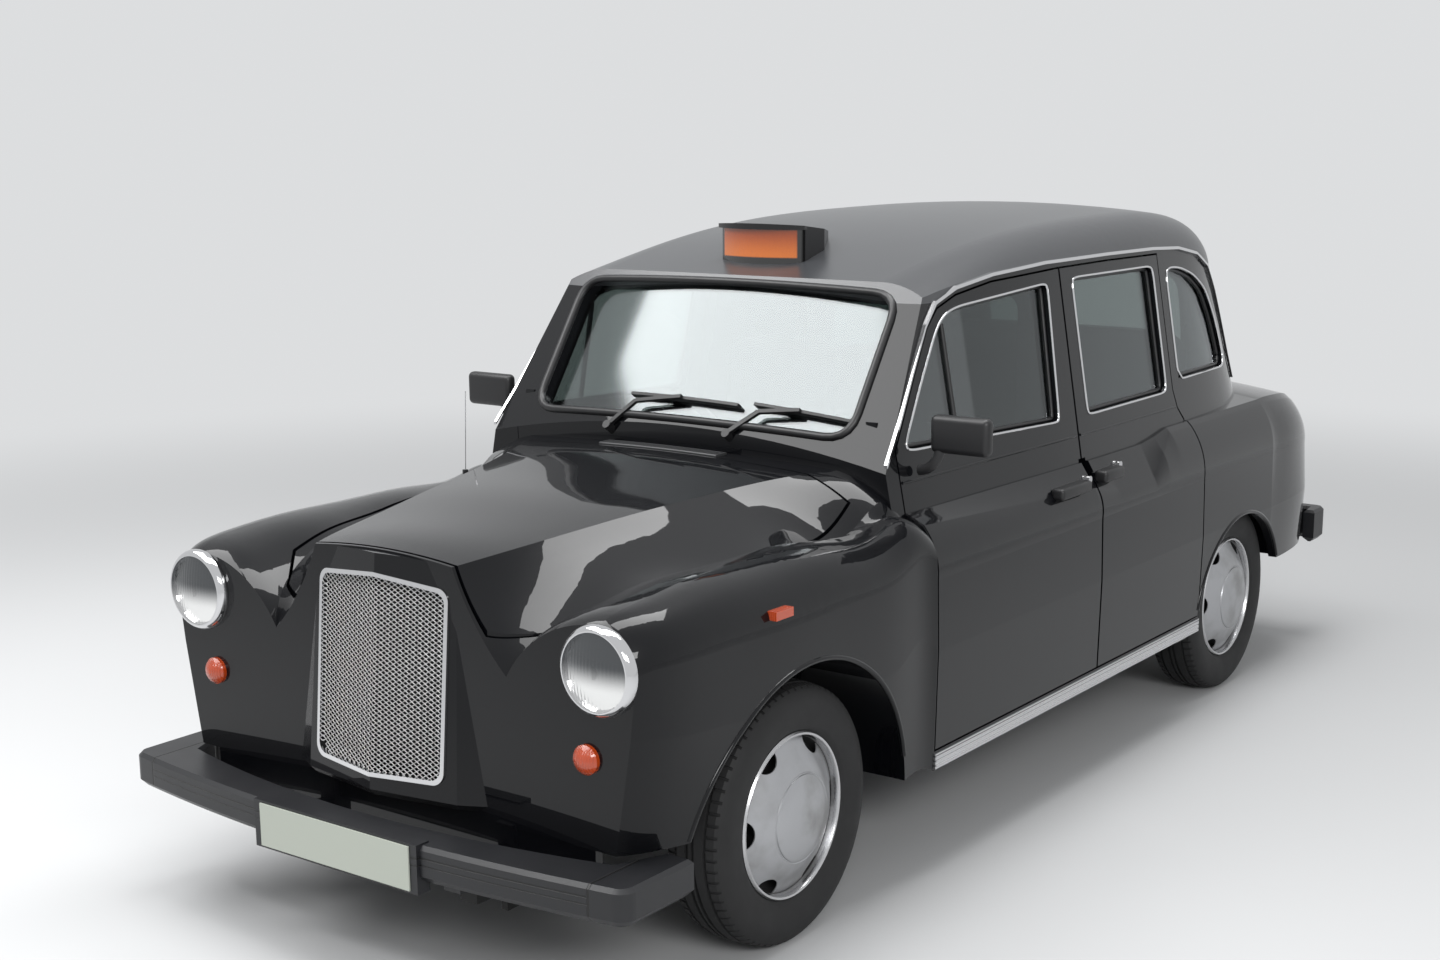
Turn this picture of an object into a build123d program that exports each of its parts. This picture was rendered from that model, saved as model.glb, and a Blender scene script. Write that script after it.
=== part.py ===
from build123d import *
import math
import os

# A purpose-built taxi cab, full size, in millimetres.
# Frame: +Z up, the nose points to -Y, +X is the cab's left (nearside), z = 0 is the ground,
# and the origin is under the middle of the whole vehicle.

# Driving dimensions
LENGTH = 4580
WHEELBASE = 2810
FRONT_AXLE_Y = -1455
REAR_AXLE_Y = FRONT_AXLE_Y + WHEELBASE
TRACK = 1422
TYRE_RADIUS = 340
TYRE_WIDTH = 175
RIM_RADIUS = 203

# Panel thicknesses and gaps
ROOF_WALL = 42
PANEL_WALL = 28
GLASS_THICKNESS = 6
GLASS_DEPTH = 18
SHUT_GAP = 6
BONNET_GAP = 8

# Shut lines and heights
DOOR_FRONT_Y = -850
DOOR_REAR_Y = 970
SILL_Z = 354
SILL_BOTTOM_Z = 300
SCUTTLE_Y = -980
BONNET_FRONT_Y = -2070
BONNET_HEM_Z = 862
BOOT_LID_Y = 1850
BOOT_LID_HALF = 480
BOOT_LID_BOTTOM_Z = 560
LID_STOP_X = 360
INNER_WING_X = 345
CABIN_HALF = 787
FLOOR_TOP_Z = 350
FLOOR_THICKNESS = 30
BOOT_FLOOR_Z = 540
BOOT_FLOOR_THICKNESS = 20
HEELBOARD_Y = 880
CABIN_REAR_Y = 1560
TAIL_HALF = 520
MEETING_Y = 169
EDGE_STEP = 20
EDGE_FLANGE = 12
CABIN_SHOULDER_Z = 880

# Wheel arches
FRONT_ARCH_RADIUS = 458
FRONT_ARCH_Z = 290
REAR_ARCH_LENGTH = 770
REAR_ARCH_TOP = 360
REAR_ARCH_Y = REAR_AXLE_Y - 15
REAR_ARCH_Z = 296
REAR_WELL_RADIUS = 395
REAR_WELL_INNER_X = 560
WELL_WALL = 15

os.makedirs("parts", exist_ok=True)


def keep(piece, label):
    """Names a finished piece and writes it to its own file."""
    piece.label = label
    export_step(piece, f"parts/{label}.step")


def mirrored(piece):
    """The same piece on the cab's other side."""
    with BuildPart() as other:
        add(piece)
        mirror(about=Plane.YZ, mode=Mode.REPLACE)
    return other.part


# The front body: bonnet, cheeks and wings in one skin, as cross-sections from lamps to door.
FRONT_SECTIONS = (
    # y, centre z, shoulder x, z, cheek sag, valley x, z, crest z, hip x, hip radius, side x, z, foot x, z
    (-2085, 1046, 236, 1032, -16, 400, 790, 955, 790, 104, 772, 700, 724, 418),
    (-2050, 1051, 246, 1036, -26, 428, 842, 974, 806, 112, 792, 700, 745, 416),
    (-1980, 1060, 262, 1043, -28, 468, 890, 987, 823, 122, 814, 690, 772, 412),
    (-1850, 1069, 286, 1054, -20, 510, 942, 999, 834, 134, 831, 682, 802, 402),
    (-1650, 1086, 325, 1072, -12, 552, 970, 1006, 840, 145, 842, 660, 826, 372),
    (-1450, 1103, 366, 1088, -6, 592, 982, 1006, 843, 146, 846, 645, 834, 345),
    (-1250, 1122, 414, 1102, 0, 632, 984, 1001, 844, 136, 847, 640, 837, 322),
    (-1050, 1142, 480, 1116, 6, 680, 982, 994, 844, 118, 847, 640, 838, 308),
    (-850, 1158, 600, 1128, 10, 738, 978, 986, 843, 98, 847, 640, 838, 300),
)

# The lower body beside the doors: a crease that falls and kicks up again over the rear door.
FLANK_SECTIONS = (
    # y, foot x, z, side x, z, hip x, z, crease x, z, ledge x, z, deck z
    (-850, 838, 300, 847, 640, 843, 840, 795, 985, 742, 1010, 1020),
    (150, 838, 300, 847, 640, 843, 840, 822, 935, 774, 1010, 1020),
    (300, 838, 300, 847, 640, 843, 840, 826, 914, 778, 1010, 1020),
    (575, 838, 300, 847, 640, 843, 840, 826, 912, 778, 1010, 1020),
    (680, 838, 300, 847, 640, 843, 840, 815, 968, 776, 1020, 1030),
    (790, 838, 300, 847, 640, 843, 840, 787, 1020, 772, 1036, 1070),
    (1600, 838, 300, 847, 640, 843, 840, 787, 1020, 772, 1036, 1100),
)

# The tail: rear wings and boot, rounded in plan and in profile.
TAIL_SECTIONS = (
    (1600, 838, 300, 847, 640, 843, 840, 787, 1020, 772, 1036, 1100),
    (1760, 835, 310, 844, 640, 840, 838, 783, 1017, 766, 1034, 1100),
    (1910, 823, 326, 835, 640, 830, 834, 773, 1004, 752, 1022, 1086),
    (2030, 800, 350, 815, 640, 806, 822, 750, 974, 727, 992, 1052),
    (2120, 764, 386, 780, 638, 768, 792, 713, 916, 690, 932, 985),
    (2178, 706, 424, 722, 630, 708, 742, 658, 828, 636, 842, 884),
    (2208, 610, 470, 626, 612, 612, 690, 574, 740, 556, 750, 778),
)

# The upper body: side walls that lean in to the gutter, and a crowned roof.
UPPER_SECTIONS = (
    # y, base x at z 1000, gutter x, gutter z, crown z
    (-905, 735, 630, 1520, 1566),
    (-560, 746, 642, 1580, 1626),
    (-200, 757, 654, 1618, 1698),
    (170, 767, 664, 1632, 1744),
    (520, 768, 665, 1633, 1763),
    (850, 767, 664, 1630, 1768),
    (1180, 760, 654, 1612, 1755),
    (1440, 738, 622, 1556, 1708),
    (1600, 698, 560, 1470, 1615),
    (1710, 632, 470, 1330, 1450),
    (1790, 540, 360, 1150, 1215),
)
UPPER_BASE_Z = 1000
UPPER_FOOT_Z = 930
ROOF_CORNER = 0.78
ROOF_RISE = 0.82

# The shut line of the bonnet, seen from above
BONNET_PLAN = ((330, BONNET_FRONT_Y), (440, -2000), (522, -1900), (602, -1450), (640, -1160), (640, -986))

# The gutter, which also parts the roof from the sides, in side view
GUTTER_LINE = (
    (-935, 1110), (-816, 1250), (-722, 1372), (-623, 1496), (-555, 1556), (-441, 1590), (-239, 1614),
    (72, 1629), (498, 1630), (850, 1627), (1075, 1617), (1254, 1588), (1375, 1538), (1457, 1444),
    (1533, 1306), (1570, 1120),
)
ROOF_LINE = GUTTER_LINE[4:13]

# Doors and side windows in side view, (y, z)
FRONT_DOOR = (
    (-842, 360), (-842, 1178), (-700, 1364), (-602, 1488), (-540, 1536), (-436, 1566), (-239, 1590),
    (164, 1604), (164, 360),
)
REAR_DOOR = (
    (174, 360), (174, 1604), (498, 1606), (894, 1603), (898, 1150), (920, 1085), (962, 1040), (962, 360),
)
FRONT_WINDOW = (
    (-792, 1190), (-668, 1348), (-560, 1478), (-510, 1516), (-440, 1532), (66, 1562), (78, 1550),
    (52, 1158), (40, 1152), (-780, 1176),
)
REAR_WINDOW = (
    (250, 1160), (248, 1556), (262, 1568), (826, 1566), (842, 1550), (842, 1166), (828, 1152), (262, 1150),
)
QUARTER_REGION = (
    (904, 1700), (904, 1151), (926, 1088), (970, 1043), (970, 200), (2300, 200), (2300, 1700),
)
QUARTER_WINDOW = (
    (962, 1182), (962, 1530), (980, 1552), (1080, 1546), (1204, 1514), (1318, 1454), (1396, 1345),
    (1438, 1226), (1428, 1192), (1400, 1180),
)

# Windscreen: its middle at the foot, how far it leans back, its size and its curve in plan
SCREEN_FOOT = (0, -890, 1221)
SCREEN_RAKE = 34.5
SCREEN_WIDTH = 1130
SCREEN_HEIGHT = 446
SCREEN_CORNER = 55
SCREEN_RADIUS = 2930
SCREEN_FRAME_RADIUS = 6000
SCREEN_FRAME_DEPTH = 58

# Rear screen
REAR_SCREEN_HALF = 420
REAR_SCREEN_FOOT_Z = 1165
REAR_SCREEN_TOP_Z = 1478
REAR_SCREEN_CORNER = 60

# Nose: the corners of the grille, and the body round it
GRILLE_TOP_Y = -2112
GRILLE_TOP_Z = 996
GRILLE_FOOT_Y = -2156
GRILLE_FOOT_Z = 488
GRILLE_HALF = 222
GRILLE_SWEEP = 34
GRILLE_CORNER = 34
NOSE_BORDER = 36
NOSE_FOOT_Z = 436
NOSE_FLARE = 2.0
NOSE_CHIN = 18
BUFFER_X = (262, 300)
NOSE_TOP_Z = 1042
NOSE_BACK_Y = -2085

# Openings, posts and tail
WAIST_HALF = 722
BOOT_HALF = 730
BOOT_REAR_Y = 2120
BOOT_FLOOR_FOOT_Z = BOOT_FLOOR_Z - BOOT_FLOOR_THICKNESS
FLOOR_FOOT_Z = FLOOR_TOP_Z - FLOOR_THICKNESS
TAIL_FOOT_Z = 430
TAIL_FACE_Y = 2208
POST_INNER_X = 690
FRONT_POST = (-838, -770)
MIDDLE_POST = (120, 220)
CATCH_Y = (136, 205)
SILL_INNER_X = 747
JACK_X = 790
JACK_Y = (-690, 860)
JACK_PAD_Z = 288

# Nose and lamps
NOSE_LEAN = (GRILLE_TOP_Y - GRILLE_FOOT_Y) / (GRILLE_TOP_Z - GRILLE_FOOT_Z)
GRILLE_FRAME_WIDTH = 11
GRILLE_FRAME_PROUD = 6
GRILLE_MESH_DEPTH = 5
MESH_THICKNESS = 3
MESH_PITCH_X = 42
MESH_PITCH_Z = 32
MESH_STRAND = 3.6
MESH_COLUMNS = 9
MESH_ROWS = 27
MESH_FIRST_Z = 526
LAMP_X = 689
LAMP_Z = 853
LAMP_RIM_RADIUS = 108
LENS_RADIUS = 93
INDICATOR_X = 645
INDICATOR_Z = 636
INDICATOR_RADIUS = 36
REPEATER_Y = -1595
REPEATER_Z = 905
TAIL_LAMP_X = (598, 690)
TAIL_LAMP_Z = (590, 738)

# Wheels: half widths and radii of the profiles, from the middle of the tread
HUB_X = TRACK / 2
RIM_HALF = 62
BEAD_RADIUS = 217
SIDEWALL_HALF = TYRE_WIDTH / 2
TREAD_HALF = 66
SHOULDER_RADIUS = TYRE_RADIUS - 9
COVER_RADIUS = 214
COVER_FACE = 76
DISC_INNER = 28
DISC_OUTER = 38
SLOT_COUNT = 8
SLOT_RADIUS = 177
SLOT_HEIGHT = 28
SLOT_WIDTH = 58
SLOT_DEPTH = 26

# Steering, suspension and chassis
KINGPIN_X = 660
KNUCKLE_HALF = 105
BACKPLATE_RADIUS = 110
PIN_GAP = 0.3
ARM_THICKNESS = 20
ARM_LOWER_TOP = 224
ARM_UPPER_FOOT = 2 * TYRE_RADIUS - ARM_LOWER_TOP
RAIL_INNER_X = 290
RAIL_OUTER_X = 343
RAIL_FRONT_Y = -2150
RAIL_REAR_Y = BOOT_REAR_Y - 2
RAIL_FOOT_Z = 230
CROSS_MEMBERS = ((-2100, 240), (-1830, 240), (FRONT_AXLE_Y, 240), (-860, 240), (0, 240), (780, 240), (2050, 450))
SPRING_X = 450
EXHAUST_X = -382
EXHAUST_Z = 268
SEAL_GAP = 0.4
TOW_EYE_X = 316
TOW_EYE_Y = -1990
TOW_EYE_Z = 200
TOW_EYE_RADIUS = 17
TOW_PLATE_Y = 2080
TOW_PLATE_HALF = 120
TOW_HOLES_Z = 350
TOW_HOLES_X_STEP = 160
TOW_HOLES_Z_STEP = 45
TOW_HOLE_RADIUS = 6.6

# Bumpers, sign, steering wheel, partition and wipers
FRONT_BUMPER_Y = -LENGTH / 2 + 6
REAR_BUMPER_Y = LENGTH / 2
BUMPER_CORNER = 42
FRONT_BUMPER_FOOT_Z = 312
FRONT_BUMPER_TOP_Z = 405
APRON_FOOT_Z = 330
SIGN_BODY_Y = -458
SIGN_VISOR_Z = 1741
STEERING_CENTRE = (-370, -400, 1050)
STEERING_AXIS = (0, math.cos(math.radians(30)), math.sin(math.radians(30)))
STEERING_RADIUS = 195
HUB_DEPTH = 30
PARTITION_Y = 228
SCREEN_SETBACK = 14
WIPERS = (
    # pivot, elbow of the arm, the blade's two ends
    ((-241, -52), (-168, 34), (-203, 62), (189, 56)),
    ((190, -40), (268, 40), (240, 66), (545, 60)),
)


def front_outline(row):
    """One cross-section of the front body."""
    (y, centre_z, shoulder_x, shoulder_z, sag, valley_x, valley_z, crest_z,
     hip_x, hip_radius, side_x, side_z, foot_x, foot_z) = row
    crest_x = hip_x - hip_radius
    hip_z = crest_z - hip_radius
    with BuildSketch(Plane.XZ.offset(-y)) as section:
        with BuildLine():
            if abs(sag) < 1:
                Line((shoulder_x, shoulder_z), (valley_x, valley_z))
            else:
                SagittaArc((shoulder_x, shoulder_z), (valley_x, valley_z), sag)
            TangentArc((crest_x, crest_z), (valley_x, valley_z), tangent=(-1, 0))
            RadiusArc((crest_x, crest_z), (hip_x, hip_z), hip_radius)
            Line((hip_x, hip_z), (side_x, side_z))
            Line((side_x, side_z), (foot_x, foot_z))
            mirror(about=Plane.YZ)
            ThreePointArc((-shoulder_x, shoulder_z), (0, centre_z), (shoulder_x, shoulder_z))
            Line((-foot_x, foot_z), (foot_x, foot_z))
        make_face()
    return section.sketch


def flank_outline(row):
    """One cross-section of the lower body."""
    y, foot_x, foot_z, side_x, side_z, hip_x, hip_z, crease_x, crease_z, ledge_x, ledge_z, deck_z = row
    with BuildSketch(Plane.XZ.offset(-y)) as section:
        with BuildLine():
            Line((foot_x, foot_z), (side_x, side_z))
            Line((side_x, side_z), (hip_x, hip_z))
            SagittaArc((hip_x, hip_z), (crease_x, crease_z), -(hip_x - crease_x) * 0.25 - 3)
            Line((crease_x, crease_z), (ledge_x, ledge_z))
            mirror(about=Plane.YZ)
            ThreePointArc((-ledge_x, ledge_z), (0, deck_z), (ledge_x, ledge_z))
            Line((-foot_x, foot_z), (foot_x, foot_z))
        make_face()
    return section.sketch


def upper_outline(row, inset):
    """One cross-section of the upper body, all its faces moved inwards by inset."""
    y, base_x, gutter_x, gutter_z, crown_z = row
    top_x = gutter_x * ROOF_CORNER
    top_z = gutter_z + (crown_z - gutter_z) * ROOF_RISE
    crown_sag = crown_z - top_z
    crown_radius = (top_x**2 + crown_sag**2) / (2 * crown_sag)
    with BuildSketch(Plane.XZ.offset(-y)) as section:
        with BuildLine():
            Line((base_x - inset + 12, UPPER_FOOT_Z), (base_x - inset, UPPER_BASE_Z))
            Line((base_x - inset, UPPER_BASE_Z), (gutter_x - inset, gutter_z - inset))
            TangentArc((top_x, top_z - inset), (gutter_x - inset, gutter_z - inset),
                       tangent=(crown_radius - crown_sag, -top_x))
            mirror(about=Plane.YZ)
            ThreePointArc((-top_x, top_z - inset), (0, crown_z - inset), (top_x, top_z - inset))
            Line((-base_x + inset - 12, UPPER_FOOT_Z), (base_x - inset + 12, UPPER_FOOT_Z))
        make_face()
    return section.sketch


def lofted(rows, outline, ruled=False, **options):
    """A closed skin through cross-sections that stand across the cab."""
    with BuildPart() as skin:
        loft(sections=[outline(row, **options) for row in rows], ruled=ruled)
    return skin.part


def side_prism(points, x_from, x_to):
    """A block with an outline drawn in side view, from one x to another."""
    with BuildPart() as prism:
        with BuildSketch(Plane.YZ.offset(x_from)):
            with BuildLine():
                Polyline(*points, close=True)
            make_face()
        extrude(amount=x_to - x_from)
    return prism.part


def plan_prism(points, z_from, z_to):
    """A block with an outline drawn from above, from one height to another."""
    with BuildPart() as prism:
        with BuildSketch(Plane.XY.offset(z_from)):
            with BuildLine():
                Polyline(*points, close=True)
            make_face()
        extrude(amount=z_to - z_from)
    return prism.part


def block(x_from, x_to, y_from, y_to, z_from, z_to, edge=0):
    """A block between two corners, with its edges rounded where edge is given."""
    with BuildPart() as solid:
        with BuildSketch(Plane.XY.offset(z_from)):
            with Locations(((x_from + x_to) / 2, (y_from + y_to) / 2)):
                Rectangle(x_to - x_from, y_to - y_from)
        extrude(amount=z_to - z_from)
        if edge:
            fillet(solid.edges(), radius=edge)
    return solid.part


def drum(radius, x_from, x_to, y, z):
    """A round bar along X."""
    with BuildPart() as solid:
        with BuildSketch(Plane.YZ.offset(x_from)):
            with Locations((y, z)):
                Circle(radius)
        extrude(amount=x_to - x_from)
    return solid.part


# Skins of the whole body, closed and solid; the panels are cut out of them.
front_skin = lofted(FRONT_SECTIONS, front_outline)
flank_skin = lofted(FLANK_SECTIONS, flank_outline, ruled=True)
tail_skin = lofted(TAIL_SECTIONS, flank_outline)
upper_skin = lofted(UPPER_SECTIONS, upper_outline, inset=0)

# Windscreen planes: one square to the rake, for the curve in plan, and one that faces the glass.
lean = math.radians(SCREEN_RAKE)
screen_up = Vector(0, math.sin(lean), math.cos(lean))
screen_in = Vector(0, math.cos(lean), -math.sin(lean))
curve_plane = Plane(origin=Vector(*SCREEN_FOOT) - screen_up * 200, x_dir=(1, 0, 0), z_dir=screen_up)
glass_plane = Plane(origin=SCREEN_FOOT, x_dir=(1, 0, 0), z_dir=screen_in)
SCREEN_SPAN = 820


def ahead_of_screen(radius, depth):
    """All that lies in front of a curved screen surface, set back by depth."""
    sag = radius - math.sqrt(radius**2 - SCREEN_SPAN**2)
    with BuildPart() as ahead:
        with BuildSketch(curve_plane):
            with BuildLine():
                ThreePointArc((-SCREEN_SPAN, sag + depth), (0, depth), (SCREEN_SPAN, sag + depth))
                Polyline((SCREEN_SPAN, sag + depth), (SCREEN_SPAN, -700), (-SCREEN_SPAN, -700),
                         (-SCREEN_SPAN, sag + depth))
            make_face()
        extrude(amount=1000)
    return ahead.part


with BuildPart() as screen_opening:
    with BuildSketch(glass_plane.offset(-150)):
        with Locations((0, -SCREEN_HEIGHT / 2)):
            RectangleRounded(SCREEN_WIDTH, SCREEN_HEIGHT, SCREEN_CORNER)
    extrude(amount=400)

with BuildPart() as rear_opening:
    with BuildSketch(Plane.XZ.offset(-1980)):
        with Locations((0, (REAR_SCREEN_FOOT_Z + REAR_SCREEN_TOP_Z) / 2)):
            RectangleRounded(2 * REAR_SCREEN_HALF, REAR_SCREEN_TOP_Z - REAR_SCREEN_FOOT_Z, REAR_SCREEN_CORNER)
    extrude(amount=480)

# Everything that is air inside the cabin and the boot
with BuildPart() as upper_air:
    add(lofted(UPPER_SECTIONS, upper_outline, inset=ROOF_WALL))
    add(upper_skin.moved(Location((0, -ROOF_WALL, -12))), mode=Mode.INTERSECT)

with BuildPart() as lower_air:
    add(block(-CABIN_HALF, CABIN_HALF, DOOR_FRONT_Y, CABIN_REAR_Y, 200, CABIN_SHOULDER_Z))
    add(block(-WAIST_HALF, WAIST_HALF, DOOR_FRONT_Y, CABIN_REAR_Y, 800, 990))

with BuildPart() as cabin_air:
    add(upper_air.part)
    add(ahead_of_screen(SCREEN_FRAME_RADIUS, SCREEN_FRAME_DEPTH), mode=Mode.SUBTRACT)
    add(lower_air.part)

with BuildPart() as boot_air:
    add(tail_skin.moved(Location((0, -40, -32))))
    add(block(-BOOT_HALF, BOOT_HALF, CABIN_REAR_Y, 2150, 200, 1100), mode=Mode.INTERSECT)
    add(block(-745, 745, HEELBOARD_Y, BOOT_REAR_Y, 200, BOOT_FLOOR_FOOT_Z))
    add(block(-BOOT_HALF, BOOT_HALF, CABIN_REAR_Y - 5, 1650, 200, 990))

rear_drum = drum(REAR_WELL_RADIUS, REAR_WELL_INNER_X, 808, REAR_AXLE_Y, TYRE_RADIUS)
with BuildPart() as rear_wells:
    add(rear_drum)
    with BuildSketch(Plane.YZ.offset(REAR_WELL_INNER_X)):
        with Locations((REAR_ARCH_Y, REAR_ARCH_Z)):
            Ellipse(REAR_ARCH_LENGTH / 2, REAR_ARCH_TOP)
    extrude(amount=340)
    add(block(REAR_WELL_INNER_X, 900, REAR_AXLE_Y - 385, REAR_AXLE_Y + 382, 100, TYRE_RADIUS))

with BuildPart() as body_skin:
    add(upper_skin)
    add(ahead_of_screen(SCREEN_FRAME_RADIUS, 0), mode=Mode.SUBTRACT)
    add(flank_skin)
    add(tail_skin)
    add(block(-900, 900, 1680, 2300, 200, TAIL_FOOT_Z), mode=Mode.SUBTRACT)

roof_prism = side_prism(ROOF_LINE + ((1900, 1538), (1900, 1900), (-900, 1900), (-900, 1556)), -900, 900)

with BuildPart() as roof_panel:
    add(body_skin.part)
    add(roof_prism, mode=Mode.INTERSECT)
    add(cabin_air.part, mode=Mode.SUBTRACT)
    add(screen_opening.part, mode=Mode.SUBTRACT)
keep(roof_panel.part, "roof_panel")

# Where two doors meet, the inner half of each edge steps back so that both swing clear
with BuildPart() as edge_step:
    add(lofted(UPPER_SECTIONS, upper_outline, inset=EDGE_FLANGE))
    add(block(600, WAIST_HALF + 80, 100, 250, CABIN_SHOULDER_Z, UPPER_BASE_Z + 20))
    add(block(300, 900, MEETING_Y - EDGE_STEP, MEETING_Y + EDGE_STEP + 6, CABIN_SHOULDER_Z, 1604),
        mode=Mode.INTERSECT)

# Doors: the skin inside each outline, down to the cabin air, with the window cut and a handle
with BuildPart() as door_front_left:
    add(body_skin.part)
    add(side_prism(FRONT_DOOR, 300, 900), mode=Mode.INTERSECT)
    add(upper_air.part, mode=Mode.SUBTRACT)
    add(lower_air.part, mode=Mode.SUBTRACT)
    add(side_prism(FRONT_WINDOW, 300, 900), mode=Mode.SUBTRACT)
    add(edge_step.part, mode=Mode.SUBTRACT)
    add(block(790, 840, -108, 68, 944, 968, edge=5))
keep(door_front_left.part, "door_front_left")
keep(mirrored(door_front_left.part), "door_front_right")

with BuildPart() as door_rear_left:
    add(body_skin.part)
    add(side_prism(REAR_DOOR, 300, 900), mode=Mode.INTERSECT)
    add(cabin_air.part, mode=Mode.SUBTRACT)
    add(side_prism(REAR_WINDOW, 300, 900), mode=Mode.SUBTRACT)
    add(edge_step.part, mode=Mode.SUBTRACT)
    add(block(785, 836, 190, 312, 953, 977, edge=5))
keep(door_rear_left.part, "door_rear_left")
keep(mirrored(door_rear_left.part), "door_rear_right")

# Space that the doors of one side need, with their gaps
behind_doors = lofted(UPPER_SECTIONS, upper_outline, inset=ROOF_WALL + SHUT_GAP)
with BuildPart() as door_space:
    with BuildSketch(Plane.YZ.offset(500)):
        with BuildLine():
            Polyline(*FRONT_DOOR, close=True)
        make_face()
        with BuildLine():
            Polyline(*REAR_DOOR, close=True)
        make_face()
        offset(amount=SHUT_GAP, kind=Kind.INTERSECTION)
    extrude(amount=400)
    add(behind_doors, mode=Mode.SUBTRACT)

with BuildPart() as rear_quarters:
    add(body_skin.part)
    add(side_prism(QUARTER_REGION, TAIL_HALF, 900), mode=Mode.INTERSECT)
    add(door_space.part, mode=Mode.SUBTRACT)
    add(roof_prism, mode=Mode.SUBTRACT)
    add(cabin_air.part, mode=Mode.SUBTRACT)
    add(boot_air.part, mode=Mode.SUBTRACT)
    add(rear_wells.part, mode=Mode.SUBTRACT)
    add(side_prism(QUARTER_WINDOW, 300, 900), mode=Mode.SUBTRACT)
    mirror(about=Plane.YZ)
keep(rear_quarters.part, "rear_quarters")

# Stops behind the lower edge of the boot lid
with BuildPart() as lid_stops:
    add(tail_skin.moved(Location((0, -PANEL_WALL - SEAL_GAP, -22))))
    add(tail_skin.moved(Location((0, -PANEL_WALL - 16, -32))), mode=Mode.SUBTRACT)
    add(block(LID_STOP_X - 30, LID_STOP_X + 30, 2000, 2300, 530, BOOT_LID_BOTTOM_Z + 40), mode=Mode.INTERSECT)
    mirror(about=Plane.YZ)

# Tail: the skin between the rear wings, round the rear screen and the boot
LID_TOP_Z = 1300
with BuildPart() as boot_region:
    with BuildSketch(Plane.XZ.offset(-2300)):
        with Locations((0, (BOOT_LID_BOTTOM_Z + LID_TOP_Z) / 2)):
            RectangleRounded(2 * BOOT_LID_HALF, LID_TOP_Z - BOOT_LID_BOTTOM_Z, 70)
    extrude(amount=2300 - BOOT_LID_Y)

with BuildPart() as boot_gap:
    with BuildSketch(Plane.XZ.offset(-2300)):
        with Locations((0, (BOOT_LID_BOTTOM_Z + LID_TOP_Z) / 2)):
            RectangleRounded(2 * (BOOT_LID_HALF + SHUT_GAP), LID_TOP_Z - BOOT_LID_BOTTOM_Z + 2 * SHUT_GAP, 76)
    extrude(amount=2300 - BOOT_LID_Y + SHUT_GAP)

with BuildPart() as boot_lid:
    add(tail_skin)
    add(boot_region.part, mode=Mode.INTERSECT)
    add(tail_skin.moved(Location((0, -PANEL_WALL, -22))), mode=Mode.SUBTRACT)
keep(boot_lid.part, "boot_lid")

with BuildPart() as tail_panel:
    add(body_skin.part)
    add(block(-TAIL_HALF, TAIL_HALF, 1300, 2300, 400, 1700), mode=Mode.INTERSECT)
    add(roof_prism, mode=Mode.SUBTRACT)
    add(cabin_air.part, mode=Mode.SUBTRACT)
    add(boot_air.part, mode=Mode.SUBTRACT)
    add(boot_gap.part, mode=Mode.SUBTRACT)
    add(rear_opening.part, mode=Mode.SUBTRACT)
    add(lid_stops.part)
    for side in (-1, 1):
        add(block(*sorted((side * (RAIL_INNER_X - 5), side * (RAIL_OUTER_X + 5))), 2080, 2250, 400,
                  BOOT_FLOOR_FOOT_Z - 2), mode=Mode.SUBTRACT)
keep(tail_panel.part, "tail_panel")

# Cabin frame: screen pillars, cant rails and sills from the skin, with door posts and a roof hoop
with BuildPart() as leaning_posts:
    add(block(0, 900, *FRONT_POST, 930, 1250))
    add(block(0, 900, *MIDDLE_POST, 930, 1720))
    add(behind_doors, mode=Mode.INTERSECT)
    add(lofted(UPPER_SECTIONS, upper_outline, inset=ROOF_WALL + SHUT_GAP + 30), mode=Mode.SUBTRACT)

with BuildPart() as cabin_frame:
    add(body_skin.part)
    add(block(-2, 900, -960, 904, 200, 1700), mode=Mode.INTERSECT)
    add(door_space.part, mode=Mode.SUBTRACT)
    add(roof_prism, mode=Mode.SUBTRACT)
    add(cabin_air.part, mode=Mode.SUBTRACT)
    add(screen_opening.part, mode=Mode.SUBTRACT)
    add(front_skin, mode=Mode.SUBTRACT)
    for post in (FRONT_POST, MIDDLE_POST):
        add(block(POST_INNER_X, CABIN_HALF - 8, *post, FLOOR_TOP_Z, 870))
        add(block(POST_INNER_X, WAIST_HALF - 10, *post, 860, 990))
    for y in CATCH_Y:
        add(block(WAIST_HALF - 12, WAIST_HALF - SEAL_GAP, y - 15, y + 15, 900, 960))
    add(leaning_posts.part)
    add(block(560, 640, *MIDDLE_POST, 1612, 1626))
    add(block(SILL_INNER_X, 838, DOOR_FRONT_Y, DOOR_REAR_Y, SILL_BOTTOM_Z, SILL_Z))
    for y in JACK_Y:
        add(block(JACK_X - 35, JACK_X + 35, y - 45, y + 45, JACK_PAD_Z, SILL_BOTTOM_Z))
    mirror(about=Plane.YZ)
keep(cabin_frame.part, "cabin_frame")

# Front body: bonnet, wings, nose and scuttle, parted at the shut lines
bonnet_plan = BONNET_PLAN + tuple((-x, y) for x, y in reversed(BONNET_PLAN))
bonnet_region = plan_prism(bonnet_plan, BONNET_HEM_Z, 1300)
with BuildPart() as bonnet_gap:
    with BuildSketch(Plane.XY.offset(BONNET_HEM_Z - SHUT_GAP)):
        with BuildLine():
            Polyline(*bonnet_plan, close=True)
        make_face()
        offset(amount=BONNET_GAP, kind=Kind.INTERSECTION)
    extrude(amount=400)

with BuildPart() as bonnet:
    add(front_skin)
    add(bonnet_region, mode=Mode.INTERSECT)
    add(front_skin.moved(Location((0, 0, -PANEL_WALL))), mode=Mode.SUBTRACT)
keep(bonnet.part, "bonnet")

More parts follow.
